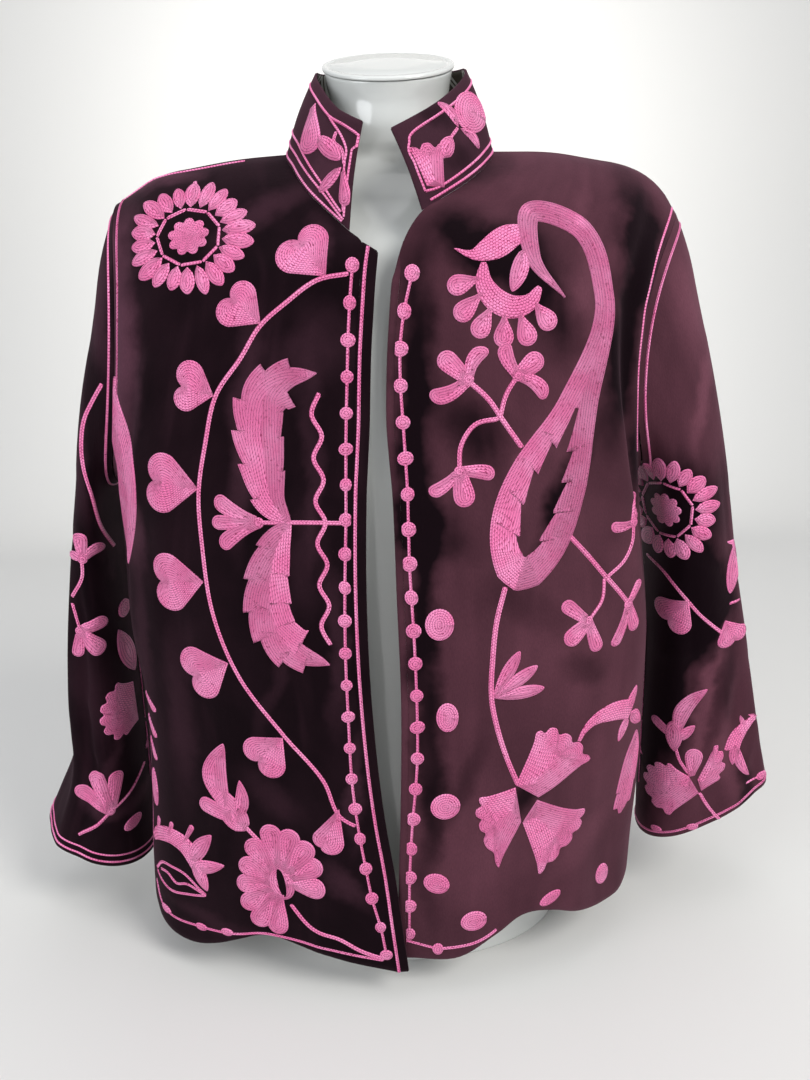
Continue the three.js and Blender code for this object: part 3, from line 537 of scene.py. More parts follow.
# One wire of a node tree, with sums written as sums.
class Wire:
    def __init__(self, tree, socket):
        self.tree, self.socket = tree, socket

    def node(self, kind, settings=None, **inputs):
        made = self.tree.nodes.new(kind)
        for key, value in (settings or {}).items():
            setattr(made, key, value)
        for key, value in inputs.items():
            name = key.replace("_", " ")
            target = made.inputs[int(name[1:])] if name[1:].isdigit() else made.inputs[name]
            if isinstance(value, Wire):
                self.tree.links.new(value.socket, target)
            else:
                target.default_value = value
        return made

    def out(self, kind, settings=None, output=0, **inputs):
        return Wire(self.tree, self.node(kind, settings, **inputs).outputs[output])

    def sum(self, kind, *values):
        return self.out("ShaderNodeMath", {"operation": kind},
                        **{"n" + str(i): value for i, value in enumerate(values)})

    def __add__(self, other):
        return self.sum("ADD", self, other)

    def __radd__(self, other):
        return self.sum("ADD", other, self)

    def __sub__(self, other):
        return self.sum("SUBTRACT", self, other)

    def __rsub__(self, other):
        return self.sum("SUBTRACT", other, self)

    def __mul__(self, other):
        return self.sum("MULTIPLY", self, other)

    def __truediv__(self, other):
        return self.sum("DIVIDE", self, other)

    def __pow__(self, other):
        return self.sum("POWER", self, other)

    def band(self, low, high):
        return self.out("ShaderNodeMapRange", {"interpolation_type": "SMOOTHSTEP"},
                        n0=self, n1=low, n2=high, n3=0.0, n4=1.0)

    def blend(self, a, b):
        return self.out("ShaderNodeMix", {"data_type": "RGBA"}, output=2, n0=self, n6=a, n7=b)

    def stretched(self, x, y, z):
        return self.out("ShaderNodeVectorMath", {"operation": "MULTIPLY"}, n0=self, n1=(x, y, z))

    def noise(self, scale, detail=2.0, roughness=0.5):
        return self.out("ShaderNodeTexNoise", Vector=self, Scale=scale, Detail=detail, Roughness=roughness)

    def parts(self):
        made = self.node("ShaderNodeSeparateXYZ", Vector=self)
        return [Wire(self.tree, socket) for socket in made.outputs]


def newMaterial(name):
    material = bpy.data.materials.new(name)
    material.use_nodes = True
    tree = material.node_tree
    shader = next(node for node in tree.nodes if node.type == "BSDF_PRINCIPLED")
    places = tree.nodes.new("ShaderNodeTexCoord")
    return material, tree, shader, Wire(tree, places.outputs["UV"]), Wire(tree, places.outputs["Object"])


def setShader(tree, shader, **values):
    for key, value in values.items():
        target = shader.inputs[key.replace("_", " ")]
        if isinstance(value, Wire):
            tree.links.new(value.socket, target)
        else:
            target.default_value = value


sheenPatchDrift = 0.045  # metres by which the painted sheen patches wander


# Velvet with painted sheen: soft paler patches are painted highlights and darker ones painted shade, where
# the brushed nap catches the light and where it turns away. Each has its place x and z, its reach both ways
# and its turn, in mm and degrees, and how much paler or darker it is.
def velvetMaterial(name, look, sheenPatches):
    material, tree, shader, uv, place = newMaterial(name)
    # The streaks, the mottle and the patches below set the tone between the dark and the lit colour: painted
    # sheen highlights and painted shade on the velvet.
    sheenStreaks = uv.stretched(26, 3.2, 1).noise(1.0, 3.0, 0.55).band(look["streakLow"], look["streakHigh"])
    mottle = uv.stretched(11, 8, 1).noise(1.0, 3.0, 0.6).band(0.34, 0.68)
    nap = uv.stretched(1, 0.35, 1).noise(900, 2.0, 0.7)
    tone = sheenStreaks * look["streak"] + mottle * look["patch"] + look["base"]
    swirl = place.out("ShaderNodeTexNoise", output=1, Vector=place, Scale=14.0, Detail=4.0, Roughness=0.6)
    drift = place.out("ShaderNodeVectorMath", {"operation": "MULTIPLY_ADD"}, n0=swirl,
                      n1=(sheenPatchDrift,) * 3, n2=(-sheenPatchDrift / 2,) * 3)
    loose = place.out("ShaderNodeVectorMath", {"operation": "ADD"}, n0=place, n1=drift)
    for x, z, reachX, reachZ, turn, amount in sheenPatches:
        spot = place.out("ShaderNodeMapping", {"vector_type": "TEXTURE"}, Vector=loose,
                         Location=(x * milli, 0, z * milli), Rotation=(0, math.radians(turn), 0),
                         Scale=(reachX * milli, 1000, reachZ * milli))
        away = place.out("ShaderNodeVectorMath", {"operation": "LENGTH"}, output=1, n0=spot)
        tone = tone + (1 - away.band(0.2, 1.3)) * (amount * 1.25)
    colour = (tone * (0.75 + nap * 0.5)).blend((*look["dark"], 1), (*look["lit"], 1))
    height = nap * 0.6 + uv.noise(160, 2.0) * 0.8
    bump = height.out("ShaderNodeBump", Height=height, Strength=0.35, Distance=0.0006)
    setShader(tree, shader, Base_Color=colour, Roughness=0.9, Normal=bump, Specular_IOR_Level=0.06,
              Sheen_Weight=look["sheen"], Sheen_Roughness=0.42, Sheen_Tint=(*look["sheenTint"], 1))
    return material


threadPitch, linkLength = 0.0021, 0.0026


# Chain stitch in rows: u runs along a row and v across the rows.
def threadMaterial():
    material, tree, shader, uv, place = newMaterial("threads")
    along, across, _ = uv.parts()
    rows = across / threadPitch
    row = rows.sum("FRACT", rows)
    step = rows.sum("FLOOR", rows) * 0.5  # each row starts half a link on
    links = along / linkLength + (row - 0.5).sum("ABSOLUTE", row - 0.5) * 0.8 + step
    link = links.sum("FRACT", links)
    ridge = (row * math.pi).sum("SINE", row * math.pi)
    loop = (link * math.pi).sum("SINE", link * math.pi)
    fibre = place.noise(1300, 2.0, 0.6)
    stitch = ridge ** 0.6 * loop ** 0.6 + (fibre - 0.5) * 0.55
    shade = place.noise(42, 3.0, 0.55).band(0.35, 0.7)
    bright = shade.blend((0.90, 0.2, 0.45, 1), (1.0, 0.32, 0.6, 1))
    # Where the stitch is low, between loops and rows, the pink turns dark: painted shade in the hollows,
    # with random flecks of more painted shade.
    shadeFleck = place.noise(420, 1.0).band(0.6, 0.72) * 0.35
    colour = (stitch - shadeFleck).band(-0.02, 0.62).blend((0.30, 0.012, 0.09, 1), bright)
    bump = stitch.out("ShaderNodeBump", Height=stitch, Strength=0.8, Distance=0.0009)
    setShader(tree, shader, Base_Color=colour, Roughness=0.62, Normal=bump, Specular_IOR_Level=0.3,
              Sheen_Weight=0.12, Sheen_Roughness=0.4, Sheen_Tint=(1.0, 0.62, 0.82, 1))
    return material


zigzagWidth, stripePitch = 0.052, 0.030


# Printed cotton with white zigzag stripes.
def liningMaterial():
    material, tree, shader, uv, place = newMaterial("lining")
    along, up, _ = uv.parts()
    zig = (along / zigzagWidth).sum("PINGPONG", along / zigzagWidth, 0.5)
    phase = up / stripePitch + zig * 1.7
    stripe = phase.sum("FRACT", phase)
    white = stripe.band(0.05, 0.07) * (1 - stripe.band(0.2, 0.22))
    white = white + stripe.band(0.3, 0.32) * (1 - stripe.band(0.45, 0.47))
    cloth = place.noise(26, 2.0).blend((0.035, 0.028, 0.018, 1), (0.085, 0.07, 0.045, 1))
    weave = uv.noise(1400, 1.0)
    colour = white.blend(cloth, (0.62, 0.62, 0.58, 1))
    bump = weave.out("ShaderNodeBump", Height=weave, Strength=0.2, Distance=0.0004)
    setShader(tree, shader, Base_Color=colour, Roughness=0.6, Normal=bump)
    return material


def plainMaterial(name, colour, roughness, coat=0.0, mottled=0.0):
    material, tree, shader, _, place = newMaterial(name)
    shade = place.noise(7, 2.0)
    dull = tuple(c * (1 - mottled) for c in colour)
    setShader(tree, shader, Base_Color=shade.blend((*dull, 1), (*colour, 1)), Roughness=roughness,
              Coat_Weight=coat, Coat_Roughness=0.12)
    return material


# Two copies of one velvet: the paler lit look, for the panels towards the light where the nap also lies
# towards it, is painted light; the shaded look serves the rest.
shadedVelvetLook = {"dark": (0.0036, 0.0010, 0.0022), "lit": (0.085, 0.032, 0.05), "base": 0.0,
           "streak": 0.14, "patch": 0.07, "streakLow": 0.52, "streakHigh": 0.78,
           "sheen": 0.1, "sheenTint": (0.8, 0.42, 0.56)}
litVelvetLook = {"dark": (0.0042, 0.0012, 0.0026), "lit": (0.15, 0.052, 0.076), "base": 0.34,
           "streak": 0.09, "patch": 0.14, "streakLow": 0.4, "streakHigh": 0.66,
           "sheen": 0.14, "sheenTint": (0.8, 0.46, 0.58)}
# Each panel's soft patches: the paler ones are painted sheen highlights, the darker ones painted shade.
velvets = {
    "front_right": velvetMaterial("velvetRight", shadedVelvetLook, (
        (-228, 575, 22, 100, 4, 0.72), (-238, 450, 18, 70, 0, 0.6), (-122, 500, 14, 90, 8, 0.26),
        (-70, 560, 26, 40, 40, 0.16), (-70, 480, 9, 90, 2, 0.14), (-100, 668, 60, 14, -30, 0.22),
        (-190, 700, 40, 12, -8, 0.5), (-240, 640, 14, 40, 14, 0.5), (-200, 250, 16, 90, 6, 0.14),
        (-60, 330, 9, 80, 0, 0.18), (-56, 640, 12, 26, 10, 0.24), (-80, 400, 12, 60, 4, 0.1),
        (-232, 330, 12, 60, 0, 0.16), (-120, 190, 40, 18, 35, 0.13), (-60, 110, 26, 12, 40, 0.22),
        (-50, 200, 7, 60, 6, 0.2), (-190, 60, 50, 10, 10, 0.12), (-110, 300, 8, 70, 16, 0.1))),
    "front_left": velvetMaterial("velvetLeft", litVelvetLook, (
        (12, 500, 20, 170, 0, -0.4), (14, 250, 15, 170, 0, -0.34), (60, 640, 46, 26, 20, -0.36),
        (40, 690, 60, 18, -10, -0.24), (92, 620, 40, 34, 0, -0.3), (178, 560, 22, 100, 10, -0.4),
        (196, 650, 24, 60, -6, -0.34), (118, 580, 26, 44, -20, -0.3), (60, 500, 44, 24, 40, -0.26),
        (128, 440, 15, 60, 22, -0.42), (24, 420, 40, 30, 30, -0.3), (200, 470, 16, 60, 0, -0.3),
        (110, 350, 50, 20, 35, -0.14), (150, 300, 26, 16, 10, -0.2), (190, 370, 20, 60, 0, 0.1),
        (120, 300, 60, 60, 0, 0.1), (170, 180, 34, 70, 8, 0.12), (60, 130, 50, 50, 0, 0.14),
        (40, 200, 12, 60, 20, -0.18), (98, 185, 16, 16, 0, -0.3), (150, 130, 40, 16, -40, 0.14),
        (150, 620, 10, 70, 0, 0.16), (100, 470, 12, 40, 20, 0.1))),
    "sleeve_left": velvetMaterial("velvetSleeveLeft", litVelvetLook, (
        (240, 400, 40, 70, 0, -0.5), (262, 320, 44, 60, 10, -0.62), (244, 230, 34, 90, 0, -0.6),
        (232, 130, 16, 60, 0, -0.4), (290, 430, 20, 50, 0, -0.2), (250, 600, 34, 60, 0, 0.3),
        (262, 520, 10, 50, 8, 0.28), (284, 230, 7, 90, 8, 0.3), (306, 170, 12, 60, -14, 0.16),
        (330, 130, 10, 40, 0, -0.3), (300, 240, 10, 60, 12, -0.2))),
    "sleeve_right": velvetMaterial("velvetSleeveRight", shadedVelvetLook, (
        (-246, 600, 16, 60, 0, 0.3), (-280, 470, 9, 60, 6, 0.2), (-268, 360, 10, 40, -20, 0.34),
        (-300, 250, 22, 60, 0, 0.12), (-286, 200, 8, 60, 14, 0.22), (-300, 130, 34, 12, 30, 0.24),
        (-270, 120, 24, 12, -30, 0.2))),
    "back": velvetMaterial("velvetBack", shadedVelvetLook, (
        (0, 560, 90, 60, 0, 0.18), (-120, 400, 30, 110, 6, 0.2), (120, 300, 34, 120, -6, 0.2),
        (0, 220, 60, 80, 0, 0.14), (-160, 140, 40, 50, 20, 0.16))),
    "collar": velvetMaterial("velvetCollar", shadedVelvetLook, (
        (0, 700, 300, 300, 0, 0.34), (-50, 700, 16, 30, 20, 0.16), (30, 740, 20, 14, 30, -0.24),
        (50, 705, 16, 14, 0, -0.2))),
}
threads = threadMaterial()
lining = liningMaterial()
print("stage: materials made")


def crease(x, z, toX, toZ, width, height, face=1):
    return {"x": x, "z": z, "toX": toX, "toZ": toZ, "width": width, "height": height, "face": face}


def frontPiece(side, creases):
    coarse = settled(np.array([[frontLower(side, u, v) for u in frontAcross] for v in lowerPlaces]
                              + [[frontUpper(side, u, w) for u in frontAcross] for w in frontPlaces]))
    normals = gridNormals(coarse)
    if side == "right":
        normals = -normals
    heights = [*[v * 0.63 for v in lowerPlaces], *[mix(0.63, 1, w) for w in frontPlaces]]
    folds = np.array([[foldHeight(bodyFolds[side], u, h) * clamp((1 - u) / 0.08) * clamp((1 - h) / 0.08)
                       for u in frontAcross] for h in heights])
    grid = drawnIn(coarse + normals * folds[:, :, None], ("start", "end", "top"))
    return finishedSheet(grid, side == "right", creases)


def finishedSheet(grid, turned, creases, step=5.0, closed=False):
    fine = finer(grid, step, closed)
    normals = gridNormals(fine, closed) * (-1 if turned else 1)
    fine = creased(fine, normals, creases)
    normals = gridNormals(fine, closed) * (-1 if turned else 1)
    return fine, fine - normals * wall


def backPiece(creases):
    coarse = settled(np.array([[backLower(u, v) for u in backAcross] for v in lowerPlaces]
                              + [[backUpper(u, w) for u in backAcross] for w in backPlaces]))
    normals = -gridNormals(coarse)
    heights = [*[v * 0.6 for v in lowerPlaces], *[mix(0.6, 1, w) for w in backPlaces]]
    folds = np.array([[foldHeight(bodyFolds["back"], u, h) * clamp(min(u, 1 - u) / 0.06)
                       * clamp((1 - h) / 0.08) for u in backAcross] for h in heights])
    grid = drawnIn(coarse + normals * folds[:, :, None], ("start", "end", "top"))
    return finishedSheet(grid, True, creases)


def sleevePiece(side, creases):
    coarse = np.array([[sleevePoint(side, turn, along) for turn in sleeveTurns] for along in sleeveAlong])
    normals = gridNormals(coarse, True)
    turned = normals[8, 0, 0] * sideSign[side] < 0
    normals = -normals if turned else normals
    folds = np.array([[sleeveFoldHeight(side, turn, along) for turn in sleeveTurns]
                      for along in sleeveAlong])
    grid = drawnIn(coarse + normals * folds[:, :, None], ("bottom",))
    return finishedSheet(grid, turned, creases, closed=True)


def collarPiece():
    up = evenly(4)
    coarse = np.array([[mix(neckSeam(u), collarTop(u), v) for u in collarAcross] for v in up])
    normals = gridNormals(coarse)
    turned = normals[1, 10, 1] < 0
    normals = -normals if turned else normals
    coarse = coarse + normals * np.array([2.5 * math.sin(math.pi * v) for v in up])[:, None, None]
    return finishedSheet(drawnIn(coarse, ("bottom",)), turned, [], step=3.5)


def bandPiece(side):
    places = [rowHeight(hemLine[side](0), v) for v in lowerPlaces]
    places += [mix(armpitHeight, notchHeight, w / notchShare) for w in frontPlaces if w <= notchShare + 1e-9]
    tipZ = neckSeam(0 if side == "right" else 1)[2]
    rows = []
    for z in places:
        row = []
        for u in (0, 0.5, 1):
            made = bandSeam(side, z, bandWidth[side] * (1 - u))
            made[1] -= overlap(z) if side == "right" else 0
            made[2] -= 0.6 * (tipZ - notchHeight) * u if z >= notchHeight else 0
            row.append(made)
        rows.append(row)
    grid = drawnIn(np.array(rows), ("start",))
    fine = finer(grid, 4.0)
    normals = gridNormals(fine)
    normals = normals * (-1 if normals[5, 2, 1] > 0 else 1)
    fine += normals * (0.5 * np.sin(np.linspace(0.25, 0.9, fine.shape[1]) * np.pi))[None, :, None]
    return fine, fine - normals * bandWall


jacket = {}


def addCloth(node, grids, velvet, free, closed=False):
    outer, inner = grids
    made = clothShell("cloth_" + node, outer, inner, (velvet, lining), closed, free)
    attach(made, "root")
    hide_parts(node)
    jacket[node] = {"outer": outer, "inner": inner, "piece": made, "closed": closed}


handCreases = {
    "front_right": [
        crease(-212, 560, -150, 600, 13, -2.6), crease(-206, 640, -226, 520, 9, 2.4),
        crease(-190, 500, -215, 330, 12, 2.2), crease(-150, 690, -60, 640, 16, -2.0),
        crease(-222, 430, -170, 250, 14, -2.2), crease(-60, 250, -40, 90, 12, 1.8),
        crease(-200, 90, -150, 200, 15, 2.6), crease(-110, 150, -150, 40, 13, -2.4),
        crease(-60, 130, -90, 40, 11, 2.0)],
    "front_left": [
        crease(190, 590, 140, 620, 13, -2.4), crease(200, 640, 190, 480, 9, 2.4),
        crease(30, 440, 90, 380, 14, 2.2), crease(20, 395, 70, 335, 11, -2.4),
        crease(205, 300, 160, 180, 14, 2.2), crease(120, 690, 40, 650, 18, -2.0),
        crease(30, 210, 60, 90, 14, -2.2), crease(150, 90, 110, 240, 16, 2.2),
        crease(90, 60, 70, 150, 11, -1.8)],
    "back": [
        crease(-190, 600, -120, 560, 14, -2.6, -1), crease(185, 600, 120, 570, 14, -2.4, -1),
        crease(-40, 690, -60, 520, 18, 2.2, -1), crease(60, 560, 90, 300, 18, 2.4, -1),
        crease(-130, 380, -150, 120, 16, -2.6, -1)],
    "sleeve_right": [
        crease(-262, 560, -285, 470, 9, 2.6), crease(-300, 330, -282, 290, 8, -2.8),
        crease(-308, 250, -284, 210, 9, 2.6), crease(-320, 190, -290, 150, 8, -2.4),
        crease(-300, 400, -282, 380, 9, -2.2), crease(-320, 380, -345, 120, 14, 2.2, -1)],
    "sleeve_left": [
        crease(262, 560, 290, 440, 9, 2.4), crease(250, 390, 300, 345, 9, -2.4),
        crease(246, 270, 300, 300, 9, 2.4), crease(320, 262, 300, 130, 8, -2.6),
        crease(336, 190, 318, 120, 7, 2.4), crease(250, 190, 262, 110, 10, -2.0),
        crease(310, 400, 330, 180, 14, 2.2, -1)],
}
addCloth("front_right", frontPiece("right", handCreases["front_right"]), velvets["front_right"], ("bottom",))
addCloth("front_left", frontPiece("left", handCreases["front_left"]), velvets["front_left"], ("bottom",))
addCloth("back", backPiece(handCreases["back"]), velvets["back"], ("bottom",))
for side in ("right", "left"):
    node = "sleeve_" + side
    addCloth(node, sleevePiece(side, handCreases[node]), velvets[node], ("top",), True)
addCloth("collar", collarPiece(), velvets["collar"], ("start", "end", "top"))
addCloth("front_band_right", bandPiece("right"), velvets["front_right"], ("end", "bottom", "top"))
addCloth("front_band_left", bandPiece("left"), velvets["front_left"], ("end", "bottom", "top"))
print("stage: cloth made")


# The torso form: a smooth body with a hint of collarbones, and a neck that leans back.
def formPoint(turn, z, grown, lift=0.0):
    forwards = math.cos(turn)
    line = {name: read(z) for name, read in formLine.items()}
    y = -(line["front" if forwards > 0 else "back"] + grown) * forwards
    x = neckCentre + (line["half"] + grown) * math.sin(turn)
    chest = math.exp(-((z - 560) / 70) ** 2) * max(0.0, forwards) ** 2
    y += 5.0 * chest * math.exp(-(x / 16) ** 2)
    notch = math.exp(-((z - 706) / 12) ** 2 - (x / 12) ** 2) * max(0.0, forwards)
    reach = clamp(abs(x) / 25) * clamp((100 - abs(x)) / 40)
    bones = math.exp(-((z - 706 - 0.08 * abs(x)) / 5) ** 2) * max(0.0, forwards) * reach
    return point(x, y + 3.0 * notch + 0.6 - 0.6 * bones, z + line["tilt"] * y + lift)


# The faces of a grid of vertices, row by row.
def quads(rows, wide, steps):
    return [(j * wide + i, j * wide + (i + 1) % wide, (j + 1) * wide + (i + 1) % wide, (j + 1) * wide + i)
            for j in range(rows - 1) for i in range(steps)]


def loftObject(name, rings, material):
    wide = len(rings[0])
    vertices = [p for ring in rings for p in ring]
    faces = quads(len(rings), wide, wide)
    faces.append(tuple(reversed(range(wide))))
    faces.append(tuple(len(vertices) - wide + i for i in range(wide)))
    made = makeObject(name, vertices, faces, materials=(material,))
    outwardFaces(made)
    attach(made, "root")
    return made


formTurns = [2 * math.pi * k / 96 for k in range(96)]
gloss = plainMaterial("glossWhite", (0.66, 0.675, 0.655), 0.16, coat=0.5, mottled=0.03)
formLevels = sorted({*[0, 0.4, 1.2, 3], *np.linspace(8, 640, 48).round(1).tolist(),
                     *np.linspace(645, 789, 60).round(1).tolist(), 789.6, 790})
rimGrown = {0: -1.2, 0.4: -0.4, 789.6: -0.4, 790: -1.2}  # rounds the rims of the foot and of the top
formRings = [[formPoint(turn, z, rimGrown.get(z, 0)) for turn in formTurns] for z in formLevels]
form = loftObject("form_torso", formRings, gloss)
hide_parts("torso_form")
capLevels = [(-0.6, 0.4), (0.9, 0.6), (1.4, 1.1), (1.4, 2.9), (0.9, 3.5), (-0.2, 3.8), (-3.5, 3.9),
             (-4.0, 3.4), (-4.6, 3.4), (-5.1, 3.9), (-30, 4.0)]
capRings = [[formPoint(turn, 790, grown, lift) for turn in formTurns] for grown, lift in capLevels]
cap = loftObject("form_cap", capRings, gloss)
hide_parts("neck_cap")
print("stage: form made")


lineLift = 0.9  # how high a line of stitches stands, as a share of a full one


# The way sideways from a flat path, at each of its places.
def sideways(path):
    slope = unit(np.gradient(path, axis=0))
    return np.stack([-slope[:, 1], slope[:, 0]], 1)


# Raised stitching on one piece of cloth. Its shapes are drawn flat, as seen along one level direction,
# and laid on the cloth.
class Stitching:
    def __init__(self, node, aim=0.0):
        sheet = jacket[node]["outer"]
        rows, wide = sheet.shape[:2]
        faces = quads(rows, wide, wide if jacket[node]["closed"] else wide - 1)
        self.node, self.tree = node, BVHTree.FromPolygons(sheet.reshape(-1, 3).tolist(), faces)
        middle = (rows // 2, wide // 2)
        outside = (sheet - jacket[node]["inner"])[middle]
        self.sign = 1 if gridNormals(sheet, jacket[node]["closed"])[middle] @ outside > 0 else -1
        self.vertices, self.faces, self.uvs = [], [], []
        self.depth, self.count = 600.0, 0
        self.seenFrom(aim)

    def seenFrom(self, degrees):
        c, s = math.cos(math.radians(degrees)), math.sin(math.radians(degrees))
        self.across, self.way = Vector((c, s, 0)), Vector((-s, c, 0))

    def laid(self, h, v, lift):
        start = self.across * h + Vector((0, 0, v)) - self.way * 600
        hit, normal, _, _ = self.tree.ray_cast(start, self.way)
        if hit is None:
            hit, normal, _, _ = self.tree.find_nearest(start + self.way * self.depth)
        self.depth = (hit - start).dot(self.way)
        return hit + normal * (self.sign * lift)

    def strips(self, rings, uvs, closed):
        first, wide = len(self.vertices), len(rings[0])
        for ring, ringUv in zip(rings, uvs):
            self.vertices.extend(ring)
            self.uvs.extend(ringUv)
        for k in range(len(rings) - 1):
            for i in range(wide if closed else wide - 1):
                a, b = first + k * wide + i, first + k * wide + (i + 1) % wide
                self.faces.append((a, b, b + wide, a + wide))

    # A filled shape whose rows of stitches follow its outline in towards an inner line, which may be open.
    def fill(self, outline, core=None, row=2.6, openCore=None):
        outline = np.asarray(outline, float)
        middle = np.broadcast_to(outline.mean(0) if core is None else np.asarray(core, float), outline.shape)
        reach = np.linalg.norm(outline - middle, axis=1)
        depth = max(reach.mean(), 2.0)
        along = runOf(outline)
        shares = [0, 0.3, 0.6, 1]
        if depth > 3.4:
            shares = [0, 0.5 / depth, 1.1 / depth, *np.linspace(2.4 / depth, 1, max(2, round(depth / row)))]
        self.count += 1
        layer = 0.06 * (self.count % 5)  # shapes that meet lie on each other, not in each other
        lifts = [-0.5, 0.55, 0.95] + [1.1] * (len(shares) - 3)
        rings, uvs = [], []
        for share, lift in zip(shares, lifts):
            flat = outline + (middle - outline) * share
            low = (openCore if openCore is not None else np.zeros(len(outline), bool)) & (share > 0.999)
            rings.append([self.laid(h, v, -0.5 if isLow or lift < 0 else lift + layer)
                          for (h, v), isLow in zip(flat, low)])
            uvs.append(np.stack([along * (1 - 0.6 * share), share * reach + 0.4], 1))
        self.strips(rings, uvs, True)

    # A band of stitching along a line, with its half width at each place.
    def ribbon(self, path, half, lift=1.0):
        path = np.asarray(path, float)
        shares = np.linspace(0, 1, len(path))
        width = np.array([half(t) if callable(half) else float(half) for t in shares])
        normal = sideways(path)
        along = runOf(path)
        if width.max() < 3:
            spread, lifts = (-1, -0.55, 0, 0.55, 1), (-0.5, 0.75, 1.0, 0.75, -0.5)
        else:
            count = max(4, int(width.max() / 1.6))
            inside = np.linspace(-0.9, 0.9, count)
            spread, lifts = (-1, -0.97, *inside, 0.97, 1), (-0.5, 0.4, *([1.0] * count), 0.4, -0.5)
        tips = np.ones(len(path), bool)
        tips[[0, -1]] = False
        rings, uvs = [], []
        for share, height in zip(spread, lifts):
            flat = path + normal * (width * share)[:, None]
            rings.append([self.laid(h, v, height * lift if inside else -0.5) for (h, v),
                          inside in zip(flat, tips)])
            uvs.append(np.stack([along, width * share + 20.4], 1))
        self.strips(rings, uvs, False)

    # A stitched line laid straight on points of the cloth.
    def edgeLine(self, path, half=1.5):
        path = np.asarray(path, float)
        slope, along = unit(np.gradient(path, axis=0)), runOf(path)
        spread = (-1, -0.55, 0, 0.55, 1)
        rings = [[] for _ in spread]
        for place, way in zip(path, slope):
            hit, normal, _, _ = self.tree.find_nearest(Vector(place))
            out = np.array(normal) * self.sign
            side = np.cross(way, out)
            for ring, share, height in zip(rings, spread, (-0.5, 0.75, 1.0, 0.75, -0.5)):
                ring.append(tuple(np.array(hit) + side * half * share + out * height * lineLift))
        self.strips(rings, [np.stack([along, np.full(len(along), half * share + 20.4)], 1)
                            for share in spread], False)

    def finish(self):
        vertices = [tuple(p) for p in self.vertices]
        piece = makeObject("embroidery_" + self.node, vertices, self.faces, self.uvs, (threads,))
        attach(piece, "root")
        jacket[self.node]["threads"] = piece


def spline(points, step=3.0):
    points = np.asarray(points, float)
    keys = runOf(points)
    return hermite(points, keys, np.linspace(0, keys[-1], max(3, int(keys[-1] / step) + 1)))


def turned(points, centre, degrees):
    c, s = math.cos(math.radians(degrees)), math.sin(math.radians(degrees))
    return np.asarray(points, float) @ np.array(((c, s), (-s, c))) + np.asarray(centre, float)


# Places along and across an axis that runs from one point to another.
def onAxis(start, end, along, across):
    start, end = np.asarray(start, float), np.asarray(end, float)
    axis = end - start
    side = np.array((-axis[1], axis[0])) / np.linalg.norm(axis)
    return start + np.outer(along, axis) + np.outer(across, side)


def axisShape(work, start, end, t, half, bend):
    left, right = onAxis(start, end, t, bend + half), onAxis(start, end, t, bend - half)
    core = onAxis(start, end, np.clip(t, 0.3, 0.78), bend)
    work.fill(np.concatenate([left, right[::-1][1:-1]]), np.concatenate([core, core[::-1][1:-1]]))


# A pointed petal or leaf: swell moves its widest place towards the far end, and lean bends it sideways.
def petal(work, start, end, width, swell=1.5, lean=0.0, tip=0.8):
    length = math.dist(start, end)
    t = np.sin(np.linspace(0, np.pi / 2, max(7, int(length / 2.4))))
    axisShape(work, start, end, t, width / 2 * np.sin(np.pi * t**swell) ** tip,
              lean * np.sin(np.pi * t) * length)


# A petal with a narrow foot and a round end.
def tongue(work, start, end, width, foot=3.0, lean=0.0):
    length = math.dist(start, end)
    t = np.sin(np.linspace(0, np.pi / 2, max(9, int(length / 2.0))))
    cap = min(width / 2, length * 0.6)
    body = length - cap
    half = [mix(foot / 2, width / 2, smooth(s * length / body)) if s * length < body else
            width / 2 * math.sqrt(max(0.0, 1 - ((s * length - body) / cap) ** 2)) for s in t]
    axisShape(work, start, end, t, np.array(half), lean * np.sin(np.pi * t) * length)


# A heart: two round lobes with straight sides to its tip.
def heart(work, tip, notch, wide=1.0, skew=0.0):
    length = math.dist(tip, notch) / 0.86
    places = []
    for side in (1, -1):
        away = 0.235 * wide * (1 + skew * side)
        reach = 0.285 * (0.5 + 0.5 * wide) * (1 + 0.5 * skew * side)
        lead = math.atan2(away, 0.64) + math.asin(reach / math.hypot(away, 0.64)) + math.pi / 2
        turns = np.linspace(lead, -math.asin(min(1.0, away / reach)), 20)
        lobe = [(0.64 + reach * math.cos(a), side * (away + reach * math.sin(a))) for a in turns]
        sides = [(lobe[0][0] * s, lobe[0][1] * s) for s in evenly(6)[:-1]]
        places += (sides + lobe) if side == 1 else (sides[1:] + lobe[:-1])[::-1]
    places = np.array(places)
    outline = onAxis(tip, notch, places[:, 0] / 0.86, places[:, 1] * length)
    work.fill(outline, onAxis(tip, notch, np.clip(places[:, 0], 0.28, 0.62) / 0.86, places[:, 1] * 0))


def disc(work, x, z, rx, rz, turn=0, lobes=0, depth=0.0, slit=None):
    count = lobes * 9 if lobes else max(16, int((rx + rz) * 1.15))
    angle = np.linspace(0, 2 * np.pi, count + 1)[:-1]
    reach = 1 - depth + depth * np.abs(np.cos(angle * lobes / 2)) ** 0.6 if lobes else np.ones(count)
    outline = turned(np.stack([rx * np.cos(angle) * reach, rz * np.sin(angle) * reach], 1), (x, z), turn)
    if slit is None:
        return work.fill(outline, (x, z))
    core = turned(np.stack([slit[0] * np.cos(angle), slit[1] * np.sin(angle)], 1), (x, z), turn)
    work.fill(outline, core, openCore=np.ones(count, bool))


# Places spaced evenly round an oval.
def around(x, z, rx, rz, count, start=0.0):
    turns = np.linspace(start, start + 2 * math.pi, count + 1)[:-1]
    return [(x + rx * math.cos(a), z + rz * math.sin(a)) for a in turns]


